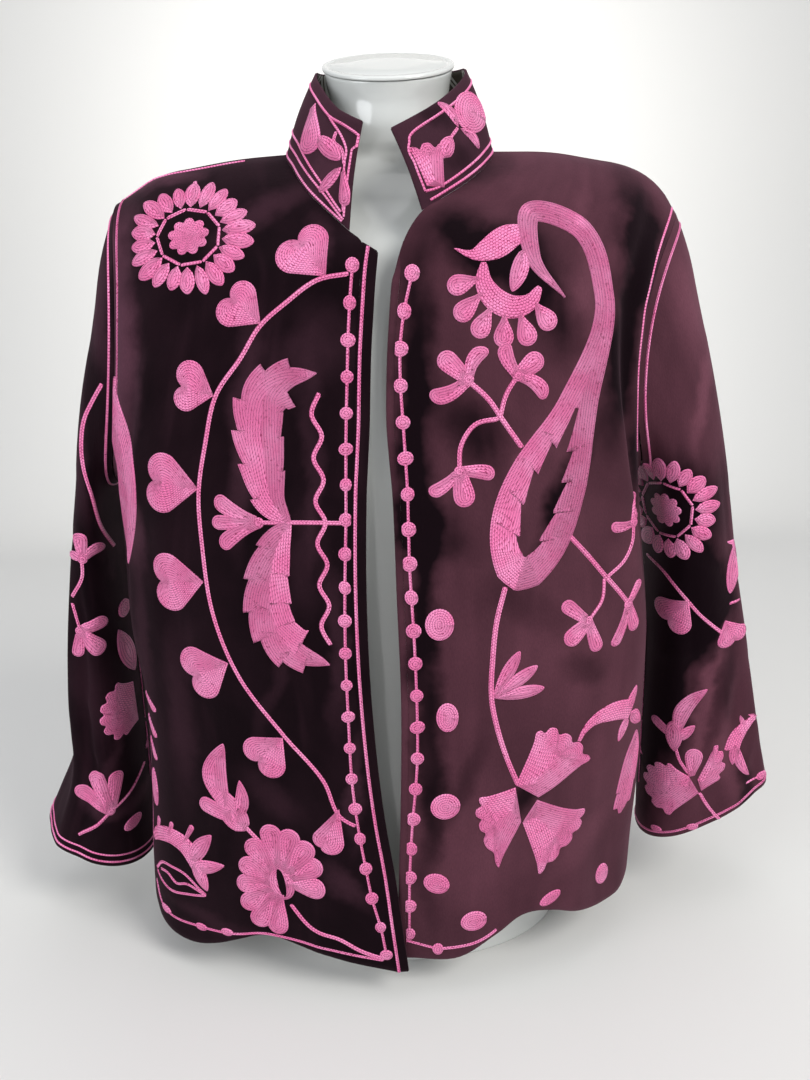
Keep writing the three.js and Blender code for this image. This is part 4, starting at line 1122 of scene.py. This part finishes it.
# A sunburst: petals round a many-sided ring, with a small lobed flower inside.
def sunburst(work, x, z, rx, rz, petals=22, ring=0.5):
    mean = (rx + rz) / 2
    for k in range(petals):
        angle = 2 * math.pi * (k + 0.5) / petals
        grown = 1 + 0.05 * math.sin(5 * angle + x)
        start = (x + rx * (ring + 0.02) * math.cos(angle), z + rz * (ring + 0.02) * math.sin(angle))
        end = (x + rx * grown * math.cos(angle), z + rz * grown * math.sin(angle))
        petal(work, start, end, 2 * math.pi * 0.9 * mean / petals * (0.98 + 0.1 * math.sin(4 * k)), 1.15,
              0.02 * math.sin(3 * k), 0.55)
    corners = [np.array(place) for place in around(x, z, rx * ring, rz * ring, 9, 0.3)]
    for k, corner in enumerate(corners):
        work.ribbon([mix(corner, corners[(k + 1) % len(corners)], t) for t in evenly(6, -0.04, 1.04)], 1.5)
    disc(work, x, z, rx * 0.33, rz * 0.33, 11, lobes=9, depth=0.3)


spineStep = 1.7  # mm between two places of a spine


# The line down the middle of a long shape, with the way out from it at each place.
def spineOf(points):
    path = spline(points, spineStep)
    return path, sideways(path)


def onSpine(spine, t, away):
    at = np.clip(t, 0, 1) * (len(spine[0]) - 1)
    keys = np.arange(len(spine[0]))
    path, normal = (np.stack([np.interp(at, keys, part[:, c]) for c in (0, 1)], 1) for part in spine)
    return path + normal * np.asarray(away)[:, None]


# One edge of a long shape as places along and out from its spine, with claws that hook forwards.
def clawedEdge(length, low, high, half, claws=(), step=2.2):
    places, last = [(low, half(low))], low
    for at, reach, hook in claws:
        for s in evenly(9)[1:]:
            places.append((mix(last, at, s) + hook * s**2.5, half(mix(last, at, s)) + reach * s**0.8))
        places += [(at + hook * 0.45, half(at) + reach * 0.35), (at + hook * 0.1, half(at))]
        last = at
    places += [(mix(last, high, s), half(mix(last, high, s)))
               for s in evenly(max(6, int(abs(high - last) * length / 4)))[1:]]
    close = [places[0]]
    for (t0, out0), (t1, out1) in zip(places, places[1:]):
        count = max(1, math.ceil(math.hypot((t1 - t0) * length, out1 - out0) / step))
        close += [(mix(t0, t1, k / count), mix(out0, out1, k / count)) for k in range(1, count + 1)]
    return np.array(close)


# A long leaf with claws on both edges.
def clawedLeaf(work, points, widths, left=(), right=()):
    spine = spineOf(points)
    length = len(spine[0]) * spineStep
    half = column(rowsOf("t half", *widths), "t", "half")
    a, b = clawedEdge(length, 0, 1, half, left), clawedEdge(length, 0, 1, half, right)[::-1]
    outline = np.concatenate([onSpine(spine, a[:, 0], a[:, 1]), onSpine(spine, b[:, 0], -b[:, 1])])
    ends = [np.maximum.accumulate(a[:, 0]), np.maximum.accumulate(b[::-1, 0])[::-1]]
    core = onSpine(spine, np.clip(np.concatenate(ends), 0.06, 0.9), np.zeros(len(outline)))
    work.fill(outline, core, row=3.0)
    t = evenly(40, 0.02, 0.97)  # a smooth body laid over the roots of the claws
    body = np.array([half(s) * 0.97 for s in t])
    outline = np.concatenate([onSpine(spine, t, body), onSpine(spine, t, -body)[::-1]])
    core = onSpine(spine, np.clip([*t, *t[::-1]], 0.06, 0.9), np.zeros(len(outline)))
    work.fill(outline, core, row=3.0)


# A wing: a wide petal from two corners out to an edge with a round lobe at each tip.
def wing(work, first, last, tips):
    notch = 3.4  # how far the edge dips between two lobes
    first, last, tips = np.array(first, float), np.array(last, float), np.array(tips, float)
    foot = (first + last) / 2
    edge = []
    for k, tip in enumerate(tips):
        before, after = tips[max(0, k - 1)], tips[min(len(tips) - 1, k + 1)]
        edge += [tip + (before - tip) * 0.2, tip + (after - tip) * 0.2]
        if k < len(tips) - 1:
            valley = (tip + after) / 2
            edge.append(valley + (foot - valley) / np.linalg.norm(foot - valley) * notch)
    edge = [place for k, place in enumerate(edge) if k == 0 or math.dist(place, edge[k - 1]) > 0.5]
    ridge = tips.mean(0) - foot
    into = [mix(first, tips[0], t)
            + (foot + ridge * t - mix(first, tips[0], t)) * 0.03 * math.sin(math.pi * t)
            for t in evenly(5)[:-1]]
    away = [mix(tips[-1], last, t)
            + (foot + ridge * (1 - t) - mix(tips[-1], last, t)) * 0.03 * math.sin(math.pi * t)
            for t in evenly(5)[1:]]
    outline = spline([*into, *edge, *away], 1.7)
    outline = np.concatenate([outline, [mix(last, first, s) for s in evenly(6)[1:-1]]])
    share = np.clip(((outline - foot) @ ridge) / (ridge @ ridge), 0.15, 0.72)
    work.fill(outline, foot + share[:, None] * ridge, row=3.0)


# A flower of round lobes about a slit.
def lobedFlower(work, x, z, rx, rz, turn, slit, tips, width):
    disc(work, x, z, rx * 0.5, rz * 0.5, turn, slit=slit)
    for tip in tips:
        tongue(work, mix(np.array((x, z)), np.array(tip), 0.2), tip, width, width * 0.34)


# Round-ended petals from one joint: each row has its tip, its width and how far it bends.
def sprig(work, joint, *petals):
    disc(work, *joint, 4.6, 4.6)
    for x, z, width, lean in petals:
        tongue(work, joint, (x, z), width * 1.25, width * 0.85, lean)


def line(work, points, half=1.7):
    work.ribbon(spline(points, 2.8), half, lineLift)


# Dots on a string, one for each place.
def beads(work, places, radius, half=1.4):
    line(work, places, half)
    for k, (x, z) in enumerate(places):
        rx, rz = radius * (1 + 0.1 * math.sin(4 * k)), radius * (1 + 0.08 * math.cos(7 * k))
        disc(work, x, z, rx, rz, 20 * math.sin(3 * k))


# A line on a sheet through places given as shares of its width and height.
def onSheet(node, places):
    sheet = jacket[node]["outer"]
    rows, wide = sheet.shape[:2]
    i = np.arange(wide)
    made = []
    for u, v in spline(places, 0.008):
        row = int(v * (rows - 1))
        low, high = (np.array([np.interp(u * (wide - 1), i, sheet[j, :, c]) for c in range(3)])
                     for j in (row, min(rows - 1, row + 1)))
        made.append(mix(low, high, v * (rows - 1) % 1))
    return np.array(made)


# Lines that follow the cloth's own rows and columns, a distance in from an edge.
def edgePath(node, edge, inset, low=0.0, high=1.0):
    sheet = jacket[node]["outer"]
    if edge in ("bottom", "top"):
        sheet = np.moveaxis(sheet, 0, 1)
    if edge in ("end", "top"):
        sheet = sheet[:, ::-1]
    picked = []
    for strand in sheet[int(low * (len(sheet) - 1)):int(high * (len(sheet) - 1)) + 1]:
        picked.append([np.interp(inset, runOf(strand), strand[:, k]) for k in range(3)])
    if jacket[node]["closed"]:
        picked.append(picked[0])
    return np.array(picked)


# Right front: a vine of hearts round a bow of two clawed leaves, with a sunburst and garden flowers.
work = Stitching("front_right")
line(work, [(-36, 618), (-60, 614), (-85, 598), (-106, 581), (-122, 558), (-143, 531), (-155, 493),
            (-164, 454), (-165, 409), (-160, 352), (-142, 300), (-107, 250), (-74, 208), (-60, 175),
            (-48, 168)], 2.1)
for row in rowsOf("x z toX toZ wide skew", (-54, 616, -77, 646, 1.0, 0.06),
                  (-105, 583, -129, 604, 1.0, 0.04), (-145, 530, -173, 538, 1.2, -0.14),
                  (-164, 457, -205, 464, 1.0, 0.04), (-166, 380, -209, 377, 0.98, 0.04),
                  (-150, 311, -186, 294, 1.0, -0.04), (-107, 247, -132, 222, 1.0, 0.08),
                  (-62, 184, -80, 144, 0.36, 0.3)):
    heart(work, (row["x"], row["z"]), (row["toX"], row["toZ"]), row["wide"], row["skew"])
sunburst(work, -162, 651, 52, 45, 22)
line(work, [(-158, 684), (-163, 700)], 1.9)
bowWidths = ((0, 3), (0.08, 7), (0.2, 11.5), (0.4, 14.5), (0.6, 14.5),
             (0.74, 11.5), (0.87, 7.5), (0.95, 4), (1, 0.4))
bowOuter = ((0.13, 8, 0.05), (0.3, 9, 0.055), (0.46, 9.5, 0.055),
            (0.6, 9.5, 0.05), (0.73, 8, 0.045), (0.84, 6, 0.035))
bowInner = ((0.28, 2.4, 0.02), (0.46, 3, 0.02), (0.6, 2.6, 0.02), (0.78, 12, 0.03))
clawedLeaf(work, [(-92, 430), (-104, 448), (-108, 478), (-109, 507), (-104, 530), (-89, 541), (-64, 545)],
           bowWidths, bowOuter, bowInner)
clawedLeaf(work, [(-92, 430), (-103, 408), (-110, 377), (-108, 348), (-98, 328), (-64, 312)],
           bowWidths, bowInner, bowOuter)
waveTop, waveStep, waveReach = 531, 16.9, 3.6
line(work, [(-66 + waveReach * (-1) ** k, waveTop - waveStep * k) for k in range(13)], 2.2)
line(work, [(-120, 430), (-80, 430), (-46, 429)], 2.1)
sprig(work, (-116, 430), (-151, 450, 11, 0.06), (-155, 430, 10, 0), (-149, 410, 11, -0.06))
beadX = column(rowsOf("z x", (45, -26), (72, -30), (96, -36), (121, -40), (146, -44), (172, -47),
                      (203, -50), (264, -51), (324, -51), (380, -49), (433, -46), (488, -44), (541, -41),
                      (586, -38), (624, -34)), "z", "x")
beads(work, [(beadX(z), z) for z in np.linspace(624, 47, 22)], 5.6)
petal(work, (-163, 176), (-161, 237), 24, 0.85, 0.15, 0.7)
tongue(work, (-154, 170), (-188, 178), 15, 13)
petal(work, (-152, 168), (-148, 205), 13, 0.75, -0.08, 0.7)
petal(work, (-146, 156), (-170, 196), 24, 0.8, 0, 0.55)
line(work, [(-150, 166), (-142, 156), (-128, 141)], 2.3)
lobedFlower(work, -117, 108, 25, 31, 10, (2.8, 13),
            ((-125, 165), (-105, 162), (-89, 151), (-80, 133), (-77, 108), (-124, 57), (-143, 62),
             (-154, 81), (-158, 104), (-154, 127), (-144, 149)), 20)
line(work, [(-110, 90), (-93, 70), (-67, 61), (-48, 50), (-27, 42)], 2.3)
work.ribbon(spline([(-250, 110), (-238, 126), (-221, 134), (-208, 130), (-197, 117), (-188, 95)], 2.6),
            lambda t: 2 + 7 * math.sin(math.pi * t**1.3) ** 0.8)
for x, z, toX, toZ, width in ((-240, 126, -236, 144, 5), (-224, 132, -219, 149, 5),
                              (-209, 130, -197, 152, 5.5)):
    tongue(work, (x, z), (toX, toZ), width)
petal(work, (-202, 116), (-178, 149), 15, 0.8, 0.02, 0.7)
petal(work, (-199, 112), (-168, 120), 14, 0.75, 0, 0.7)
petal(work, (-198, 118), (-187, 90), 14, 0.8, 0, 0.7)
for path in ([(-247, 84), (-234, 101), (-214, 102), (-188, 85)],
             [(-247, 84), (-228, 78), (-206, 81), (-188, 85)],
             [(-240, 91), (-229, 94), (-219, 88), (-209, 91), (-188, 85)]):
    line(work, path, 1.4)
line(work, [(-250, 70), (-240, 54), (-220, 50), (-196, 50), (-170, 51), (-128, 55), (-91, 52), (-60, 47),
            (-28, 41)], 1.3)
for x, z in ((-235, 53), (-197, 50), (-171, 52)):
    disc(work, x, z, 6.2, 3.9)
petal(work, (-241, 548), (-246, 382), 27, 1.0, 0.055, 0.62)
for x, z, toX, toZ in ((-243, 262, -228, 250), (-244, 238, -231, 223), (-244, 216, -234, 199)):
    tongue(work, (x, z), (toX, toZ), 7)
disc(work, -241, 168, 6, 18)
work.edgeLine(edgePath("front_right", "end", 4.5, 0.03, 0.5), 1.5)
work.edgeLine(edgePath("front_right", "top", 11.0, 0.3, 0.97), 1.4)
work.edgeLine(edgePath("front_right", "end", 7.0, 0.66, 0.99), 1.1)
work.finish()

work = Stitching("front_band_right")
work.edgeLine(edgePath("front_band_right", "end", 7.8), 1.6)
work.finish()

# Left front: a long paisley that bends over into a hanging fringed flower, sprigs, a three-winged flower
# and dots.
work = Stitching("front_left")
paisley = {
    "spine": [(88, 369), (106, 432), (138, 515), (159, 598), (140, 650), (103, 660), (103, 626), (127, 596)],
    "half": ((0, 1.5), (0.02, 18), (0.11, 34), (0.23, 33), (0.38, 17), (0.53, 9), (0.85, 8), (1, 0.6)),
    "slotLow": 0.075, "slotHigh": 0.375, "slotHalf": 17, "claws": 4, "clawReach": 8, "clawHook": 0.03,
}


def stitchPaisley(work, own):
    spine = spineOf(own["spine"])
    length = len(spine[0]) * spineStep
    half = column(rowsOf("t half", *own["half"]), "t", "half")
    low, high = own["slotLow"], own["slotHigh"]

    def slot(t):  # a pointed opening, widest in its lower half
        return 0.5 + own["slotHalf"] * math.sin(math.pi * clamp((t - low) / (high - low)) ** 0.75)

    claws = []
    for k in range(own["claws"]):
        share = k / (own["claws"] - 1)
        at = mix(high - 0.06, low + 0.055, share)
        claws.append((at, -own["clawReach"] * mix(0.65, 1, share), -own["clawHook"]))
    outlines, cores, opens = [], [], []
    for side in (1, -1):
        outer = clawedEdge(length, 0, 1, half, step=1.3)
        inner = clawedEdge(length, high, low, slot, claws, 1.0)[::-1]
        share = (np.maximum.accumulate(inner[:, 0]) - low) / (high - low)
        keys = 0.7 * share + 0.3 * np.linspace(0, 1, len(inner))
        at = np.interp((outer[:, 0] - low) / (high - low), keys, np.arange(len(inner)))
        t, away = (np.interp(at, np.arange(len(inner)), inner[:, c]) for c in (0, 1))
        beyond = outer[:, 0] >= high
        t = np.where(beyond, np.clip(outer[:, 0], 0, 0.97), t)
        away = np.where(beyond, 0, np.maximum(away, 0.2))
        parts = [onSpine(spine, outer[:, 0], side * outer[:, 1]), onSpine(spine, t, side * away), ~beyond]
        for store, part in zip((outlines, cores, opens), parts):
            store.append(part if side == 1 else part[::-1])
    work.fill(np.concatenate(outlines), np.concatenate(cores), 2.8, np.concatenate(opens))


stitchPaisley(work, paisley)
work.ribbon(spline([(99, 646), (86, 642), (70, 633), (57, 629), (42, 634)], 2.6),
            lambda t: (3.5 + 7 * math.sin(math.pi * min(1.0, t * 1.25 + 0.05)) if t < 0.75
                       else 3.5 * (1 - t) * 3.8))
petal(work, (97, 633), (86, 601), 14, 0.95, 0.02, 0.6)
work.ribbon(spline([(65, 624), (65, 608), (73, 596), (86, 590), (99, 593), (108, 605)], 2.4),
            lambda t: 1.5 + 7.6 * math.sin(math.pi * t) ** 0.8)
for row in rowsOf("x z toX toZ", (64, 612, 37, 605), (65, 602, 43, 582), (71, 592, 58, 568),
                  (80, 586, 79, 560), (91, 587, 100, 561), (102, 594, 118, 573)):
    tongue(work, (row["x"], row["z"]), (row["toX"], row["toZ"]), 16, 2.5)
sprig(work, (52, 537), (30, 557, 13, 0), (66, 561, 10, 0.14), (22, 524, 11, 0.1))
line(work, [(51, 537), (68, 521), (78, 506), (94, 483)], 2.4)
sprig(work, (90, 539), (79, 564, 10, 0.08), (109, 554, 13, 0), (113, 522, 10, 0.12))
line(work, [(89, 538), (81, 525), (76, 507)], 2.2)
sprig(work, (44, 467), (20, 450, 9, 0.06), (49, 439, 14, 0), (72, 464, 10, 0.04))
line(work, [(44, 466), (46, 488), (57, 503), (76, 507)], 2.2)
line(work, [(132, 412), (151, 391), (166, 373), (180, 357), (191, 343)], 2.4)
line(work, [(166, 371), (164, 352), (153, 338)], 2.0)
sprig(work, (151, 336), (128, 355, 10, 0), (131, 319, 13, 0), (161, 308, 10, 0))
sprig(work, (191, 342), (205, 360, 7, 0), (200, 316, 10, 0), (176, 308, 8, 0.05))
line(work, [(168, 370), (186, 382), (194, 398), (194, 413)], 2.0)
sprig(work, (194, 413), (199, 436, 9, 0), (171, 413, 8, 0.06))
line(work, [(80, 374), (73, 346), (69, 312), (68, 277), (73, 250), (81, 223), (91, 197)], 2.6)
for x, z in ((92, 318), (107, 304), (113, 284)):
    petal(work, (69, 279), (x, z), 11.5, 1.3, 0, 0.6)
wing(work, (88, 199), (108, 185), [(107, 246), (121, 248), (135, 238), (147, 227), (156, 211)])
wing(work, (88, 197), (93, 164), [(57, 190), (53, 176), (57, 162), (61, 146), (73, 121)])
wing(work, (94, 163), (107, 183), [(110, 110), (124, 123), (137, 137), (148, 150), (152, 163)])
work.ribbon(spline([(144, 229), (149, 238), (158, 245), (172, 248), (188, 247), (200, 241)], 2.6),
            lambda t: 1.6 + 7.5 * smooth(t * 1.3))
petal(work, (194, 245), (204, 263), 10, 0.8)
petal(work, (194, 238), (184, 217), 10, 0.8)
petal(work, (198, 240), (213, 220), 12, 0.8)
clawedLeaf(work, [(207, 216), (203, 192), (197, 166), (190, 140)],
           ((0, 1), (0.25, 8.5), (0.6, 9.5), (0.85, 7), (1, 1)), ((0.6, 2, 0.03), (0.82, 3, 0.05)),
           ((0.7, 2, 0.03), (0.88, 3, 0.05)))
for row in rowsOf("x z rx rz turn", (26, 344, 12, 13.5, 0), (31, 264, 9.5, 13, 0), (28, 183, 13, 12, 0),
                  (19, 111, 12, 9.5, -25), (51, 72, 12, 9.5, 12), (120, 84, 11, 5.5, 28),
                  (173, 85, 7, 11, 5)):
    disc(work, *row.values())
beadX = column(rowsOf("z x", (55, -6), (119, -4), (172, 0), (223, 5), (279, 6), (336, 5), (394, 3),
                      (452, 3), (505, 1), (558, 0), (599, 6), (617, 11)), "z", "x")
beads(work, [(beadX(z), z) for z in np.linspace(617, 62, 21)], 6.2)
beads(work, [(-13, 57), (19, 46)], 5.6, 1.3)
line(work, [(19, 46), (36, 47), (52, 50), (64, 56), (72, 62)], 1.6)
work.edgeLine(edgePath("front_left", "end", 4.5, 0.03, 0.5), 1.5)
work.edgeLine(edgePath("front_left", "end", 7.0, 0.6, 0.96), 1.3)
work.finish()
print("stage: fronts stitched")


# The side and the back of a sleeve carry a vine with hearts and a flower.
def sleeveBehind(work, sign):
    work.seenFrom(180)
    lobes = around(sign * -300, 158, 30, 30, 9)
    lobedFlower(work, sign * -300, 158, 18, 18, 0, (3, 6), lobes, 19)
    sunburst(work, sign * -266, 400, 34, 38, 18)
    line(work, [(sign * x, z) for x, z in ((-268, 362), (-276, 320), (-284, 270), (-292, 232),
                                           (-298, 190))], 2.0)
    heart(work, (sign * -276, 320), (sign * -304, 334))
    heart(work, (sign * -284, 270), (sign * -258, 258))
    heart(work, (sign * -292, 230), (sign * -318, 238), 0.9)
    work.seenFrom(sign * -90)
    line(work, [(sign * (x - 24), z) for x, z in ((4, 560), (-12, 500), (-24, 440), (-30, 380), (-28, 320),
                                                  (-34, 250), (-30, 190))], 2.0)
    for x, z, toX, toZ in ((-12, 500, 16, 512), (-24, 440, -54, 452), (-30, 372, 0, 380),
                           (-28, 316, -60, 324), (-33, 256, -4, 262)):
        heart(work, (sign * (x - 24), z), (sign * (toX - 24), toZ))
    sprig(work, (sign * -54, 190), (sign * -78, 168, 11, 0), (sign * -54, 156, 12, 0),
          (sign * -30, 168, 11, 0))


# Left sleeve.
work = Stitching("sleeve_left", -21)
sunburst(work, 232, 413, 46, 48, 20, 0.54)
line(work, [(213, 358), (229, 354), (249, 337), (265, 319), (288, 298)], 2.0)
heart(work, (257, 330), (238, 304), 1.0)
heart(work, (289, 310), (299, 286), 0.8)
petal(work, (296, 384), (292, 334), 12, 1.1, 0, 0.6)
line(work, [(304, 325), (291, 325)], 1.6)
petal(work, (252, 188), (278, 241), 16, 0.9, 0.13, 0.7)
tongue(work, (252, 186), (228, 198), 11, 8)
petal(work, (253, 184), (269, 201), 11, 0.8, 0, 0.7)
petal(work, (251, 170), (249, 204), 17, 1.2, 0, 0.6)
line(work, [(252, 176), (256, 163), (266, 148)], 2.0)
wing(work, (266, 146), (276, 129),
     [(248, 156), (235, 152), (226, 142), (222, 128), (225, 114), (234, 104), (249, 100)])
tongue(work, (268, 144), (270, 176), 17, 6)
wing(work, (274, 143), (278, 131), [(284, 170), (289, 184), (296, 172), (299, 157), (294, 143)])
line(work, [(276, 130), (283, 118), (292, 106), (301, 97)], 2.0)
work.ribbon(spline([(328, 207), (316, 198), (307, 186), (303, 172)], 2.6), lambda t: 2 + 5 * smooth(t * 1.4))
petal(work, (306, 180), (305, 158), 9, 0.9)
petal(work, (306, 180), (321, 144), 9, 0.9, -0.06)
petal(work, (314, 194), (309, 208), 5, 0.9)
disc(work, 333, 139, 4.6, 4.6)
line(work, [(333, 139), (318, 136)], 1.3)
work.edgeLine(edgePath("sleeve_left", "top", 5.0), 1.4)
work.edgeLine(edgePath("sleeve_left", "bottom", 9.0), 1.4)
for x, z in ((238, 80), (272, 92)):
    disc(work, x, z, 6, 3.6, 12)
sleeveBehind(work, -1)
work.finish()

# Right sleeve.
work = Stitching("sleeve_right", 21)
line(work, [(-254, 541), (-264, 525), (-271, 512), (-276, 492), (-277, 470), (-273, 443), (-268, 410),
            (-258, 384)], 1.9)
sprig(work, (-287, 384), (-287, 409, 10, 0), (-267, 393, 9, 0.12), (-298, 388, 7, 0))
line(work, [(-288, 384), (-289, 369), (-301, 346)], 1.8)
sprig(work, (-297, 314), (-272, 321, 11, 0.04), (-279, 290, 13, 0), (-302, 288, 9, 0))
line(work, [(-301, 342), (-297, 314)], 1.6)
disc(work, -256, 320, 6, 9)
petal(work, (-264, 304), (-252, 250), 15, 1.0)
wing(work, (-256, 242), (-255, 198),
     [(-270, 253), (-281, 247), (-288, 236), (-290, 222), (-287, 208), (-277, 195), (-266, 194)])
sprig(work, (-290, 124), (-319, 153, 12, 0), (-301, 168, 12, 0), (-280, 164, 12, 0))
line(work, [(-252, 149), (-268, 135), (-291, 123), (-306, 110), (-324, 99)], 2.0)
disc(work, -271, 99, 9.5, 7, 10)
work.edgeLine(edgePath("sleeve_right", "top", 4.5), 1.3)
work.edgeLine(edgePath("sleeve_right", "top", 12.0), 1.1)
work.edgeLine(edgePath("sleeve_right", "bottom", 9.0), 1.3)
sleeveBehind(work, 1)
work.finish()

# Back: the same garden, facing away. Across runs from the wearer's left to the right.
work = Stitching("back", 180)
for side in (-1, 1):
    sunburst(work, side * 130, 618, 50, 46)
    line(work, [(side * x, z) for x, z in ((30, 640), (60, 600), (66, 560), (90, 520), (132, 488),
                                           (160, 440), (166, 380), (156, 320), (128, 270), (96, 236),
                                           (70, 190), (44, 150))], 2.1)
    for x, z, toX, toZ in ((66, 562, 100, 576), (112, 504, 140, 530), (162, 430, 202, 438),
                           (162, 346, 204, 338), (128, 270, 164, 250), (82, 212, 116, 188)):
        heart(work, (side * x, z), (side * toX, toZ), 1.0, 0.05)
    edges = (bowInner, bowOuter) if side == 1 else (bowOuter, bowInner)
    clawedLeaf(work, [(side * x, z) for x, z in ((12, 424), (34, 444), (50, 470), (60, 500), (62, 530),
                                                 (50, 556))], bowWidths, *edges)
    clawedLeaf(work, [(side * x, z) for x, z in ((12, 408), (36, 388), (54, 360), (64, 330), (66, 300),
                                                 (54, 274))], bowWidths, *edges[::-1])
    lobes = around(side * 150, 118, 36, 42, 10, 0.3)
    lobedFlower(work, side * 150, 118, 24, 28, side * 8, (2.8, 11), lobes, 21)
    line(work, [(side * 146, 82), (side * 110, 66), (side * 60, 62)], 2.2)
disc(work, 0, 416, 15, 15)
line(work, [(0, 402), (0, 330), (0, 250), (0, 176)], 2.4)
lobedFlower(work, 0, 140, 24, 24, 0, (5, 8), around(0, 140, 40, 40, 11), 21)
sprig(work, (0, 296), (-34, 326, 13, 0), (34, 326, 13, 0), (0, 342, 13, 0))
beads(work, [(x, 46 + 0.0003 * x * x) for x in np.linspace(-196, 190, 19)], 5.4, 1.2)
work.finish()

# Collar: lines along its seam and its edges, with leaves between them.
work = Stitching("collar")
for path in ([(0.988, 0.17), (0.965, 0.13), (0.9, 0.14), (0.8, 0.16), (0.6, 0.2), (0.4, 0.2), (0.2, 0.17),
              (0.08, 0.15), (0.01, 0.05)], [(0.985, 0.05), (0.7, 0.05), (0.3, 0.05), (0.012, 0.025)],
             [(0.28, 0.3), (0.2, 0.3), (0.1, 0.25), (0.016, 0.1)],
             [(0.988, 0.17), (0.989, 0.5), (0.985, 0.74), (0.965, 0.85), (0.8, 0.87), (0.5, 0.87),
              (0.2, 0.87), (0.1, 0.87)],
             [(0.1, 0.87), (0.06, 0.81), (0.03, 0.72), (0.022, 0.55), (0.018, 0.3), (0.012, 0.12)],
             [(0.1, 0.87), (0.05, 0.89), (0.013, 0.88), (0.0105, 0.7), (0.01, 0.4), (0.01, 0.08)]):
    work.edgeLine(onSheet("collar", path), 1.2)
tongue(work, (-63, 754), (-67, 712), 19, 4)
petal(work, (-60, 724), (-41, 702), 13, 1.0, 0, 0.55)
line(work, [(-43, 725), (-46, 717), (-40, 710), (-38, 697)], 1.6)
petal(work, (-40, 697), (-59, 681), 9, 1.1, 0, 0.55)
tongue(work, (-39, 696), (-38, 668), 10, 3)
wing(work, (24, 681), (38, 681), [(11, 708), (24, 713), (38, 714)])
petal(work, (37, 702), (44, 720), 13, 0.9, 0, 0.55)
line(work, [(42, 716), (51, 729)], 1.5)
petal(work, (51, 728), (34, 746), 8, 1.0, -0.14, 0.6)
petal(work, (52, 728), (68, 715), 8, 1.0, 0.16, 0.6)
disc(work, 62, 744, 14, 18, -10)
work.seenFrom(180)
for side in (-1, 1):
    sprig(work, (side * 18, 772), (side * 42, 784, 9, 0), (side * 46, 770, 9, 0), (side * 40, 757, 9, 0))
disc(work, 0, 772, 14, 14, 0, lobes=8, depth=0.24)
work.finish()
print("stage: sleeves, back and collar stitched")


# Width, height and area of a sheet, measured along the cloth.
def gridSize(node):
    sheet = jacket[node]["outer"]
    closedSheet = np.concatenate([sheet, sheet[:, :1]], 1) if jacket[node]["closed"] else sheet
    a = closedSheet[1:, :-1] - closedSheet[:-1, :-1]
    b = closedSheet[:-1, 1:] - closedSheet[:-1, :-1]
    area = np.linalg.norm(np.cross(a, b), axis=2).sum() * 1e-6
    wide = np.linalg.norm(np.diff(closedSheet, axis=1), axis=2).sum(1).max() * milli
    tall = np.linalg.norm(np.diff(closedSheet, axis=0), axis=2).sum(0).max() * milli
    if "band" in node:  # a turned strip, whose fold shows too
        area += tall * bandWall * milli
        wide = min(wide + bandWall * milli, area / tall / 0.7)
    return wide, tall, area


for node, parts in jacket.items():
    wide, tall, area = gridSize(node)
    print("cut:", node, round(wide, 3), round(tall, 3), round(area, 4))
    flat = (round(wide + 0.004, 3), round(tall + 0.004, 3))
    round(min(area * 1.01, flat[0] * flat[1]), 4)
    [parts["threads"]] if "threads" in parts else []


# A floor that bends up into a wall far behind.
def sweep():
    floorEnd, bend, half, high = 1.7, 1.2, 4.0, 5.0
    curve = [(floorEnd + bend * math.sin(a), bend - bend * math.cos(a))
             for a in np.linspace(0.1, math.pi / 2, 16)]
    profile = [(-half, 0.0), (floorEnd, 0.0), *curve, (floorEnd + bend, high)]
    vertices = [(x / milli, y / milli, z / milli) for y, z in profile for x in (-half, half)]
    faces = [(2 * k, 2 * k + 1, 2 * k + 3, 2 * k + 2) for k in range(len(profile) - 1)]
    return makeObject("floor", vertices, faces,
                      materials=(plainMaterial("paper", (0.735, 0.73, 0.71), 0.9),))


sweep()


def areaLight(name, place, target, size, power, colour):
    lamp = bpy.data.lights.new(name, "AREA")
    lamp.shape, lamp.size, lamp.energy, lamp.color = "DISK", size, power, colour
    made = bpy.data.objects.new(name, lamp)
    made.location = place
    made.rotation_euler = (Vector(target) - Vector(place)).to_track_quat("-Z", "Y").to_euler()
    bpy.context.scene.collection.objects.link(made)


areaLight("key", (1.5, -1.5, 2.1), (0, 0, 0.45), 1.1, 46, (1.0, 0.985, 0.96))
areaLight("fill", (-1.9, -1.6, 1.2), (0, 0, 0.4), 1.6, 26, (0.94, 0.97, 1.0))
areaLight("backdrop", (0, 1.5, 1.5), (0, 2.9, 1.5), 2.0, 26, (1.0, 0.985, 0.96))
areaLight("top", (0.1, -0.1, 2.4), (0, 0, 0.5), 1.4, 5.5, (1.0, 1.0, 1.0))

world = bpy.data.worlds.new("studio")
world.use_nodes = True
world.node_tree.nodes["Background"].inputs["Color"].default_value = (0.93, 0.95, 1.0, 1)
world.node_tree.nodes["Background"].inputs["Strength"].default_value = 0.57
bpy.context.scene.world = world
bpy.context.scene.view_settings.view_transform = "Standard"

cameraBack, cameraHeight = 0.742, 0.561
lookDown, leanOver = 13.4, 1.6  # degrees
lens = bpy.data.cameras.new("camera")
lens.sensor_width, lens.sensor_fit, lens.lens = 36, "AUTO", 26.667
camera = bpy.data.objects.new("camera", lens)
camera.matrix_world = (Matrix.Translation((0, -cameraBack, cameraHeight))
                       @ Matrix.Rotation(math.radians(90 - lookDown), 4, "X")
                       @ Matrix.Rotation(math.radians(-leanOver), 4, "Z"))
lens.clip_start = 0.01
bpy.context.scene.collection.objects.link(camera)
bpy.context.scene.camera = camera

print("stage: scene ready")
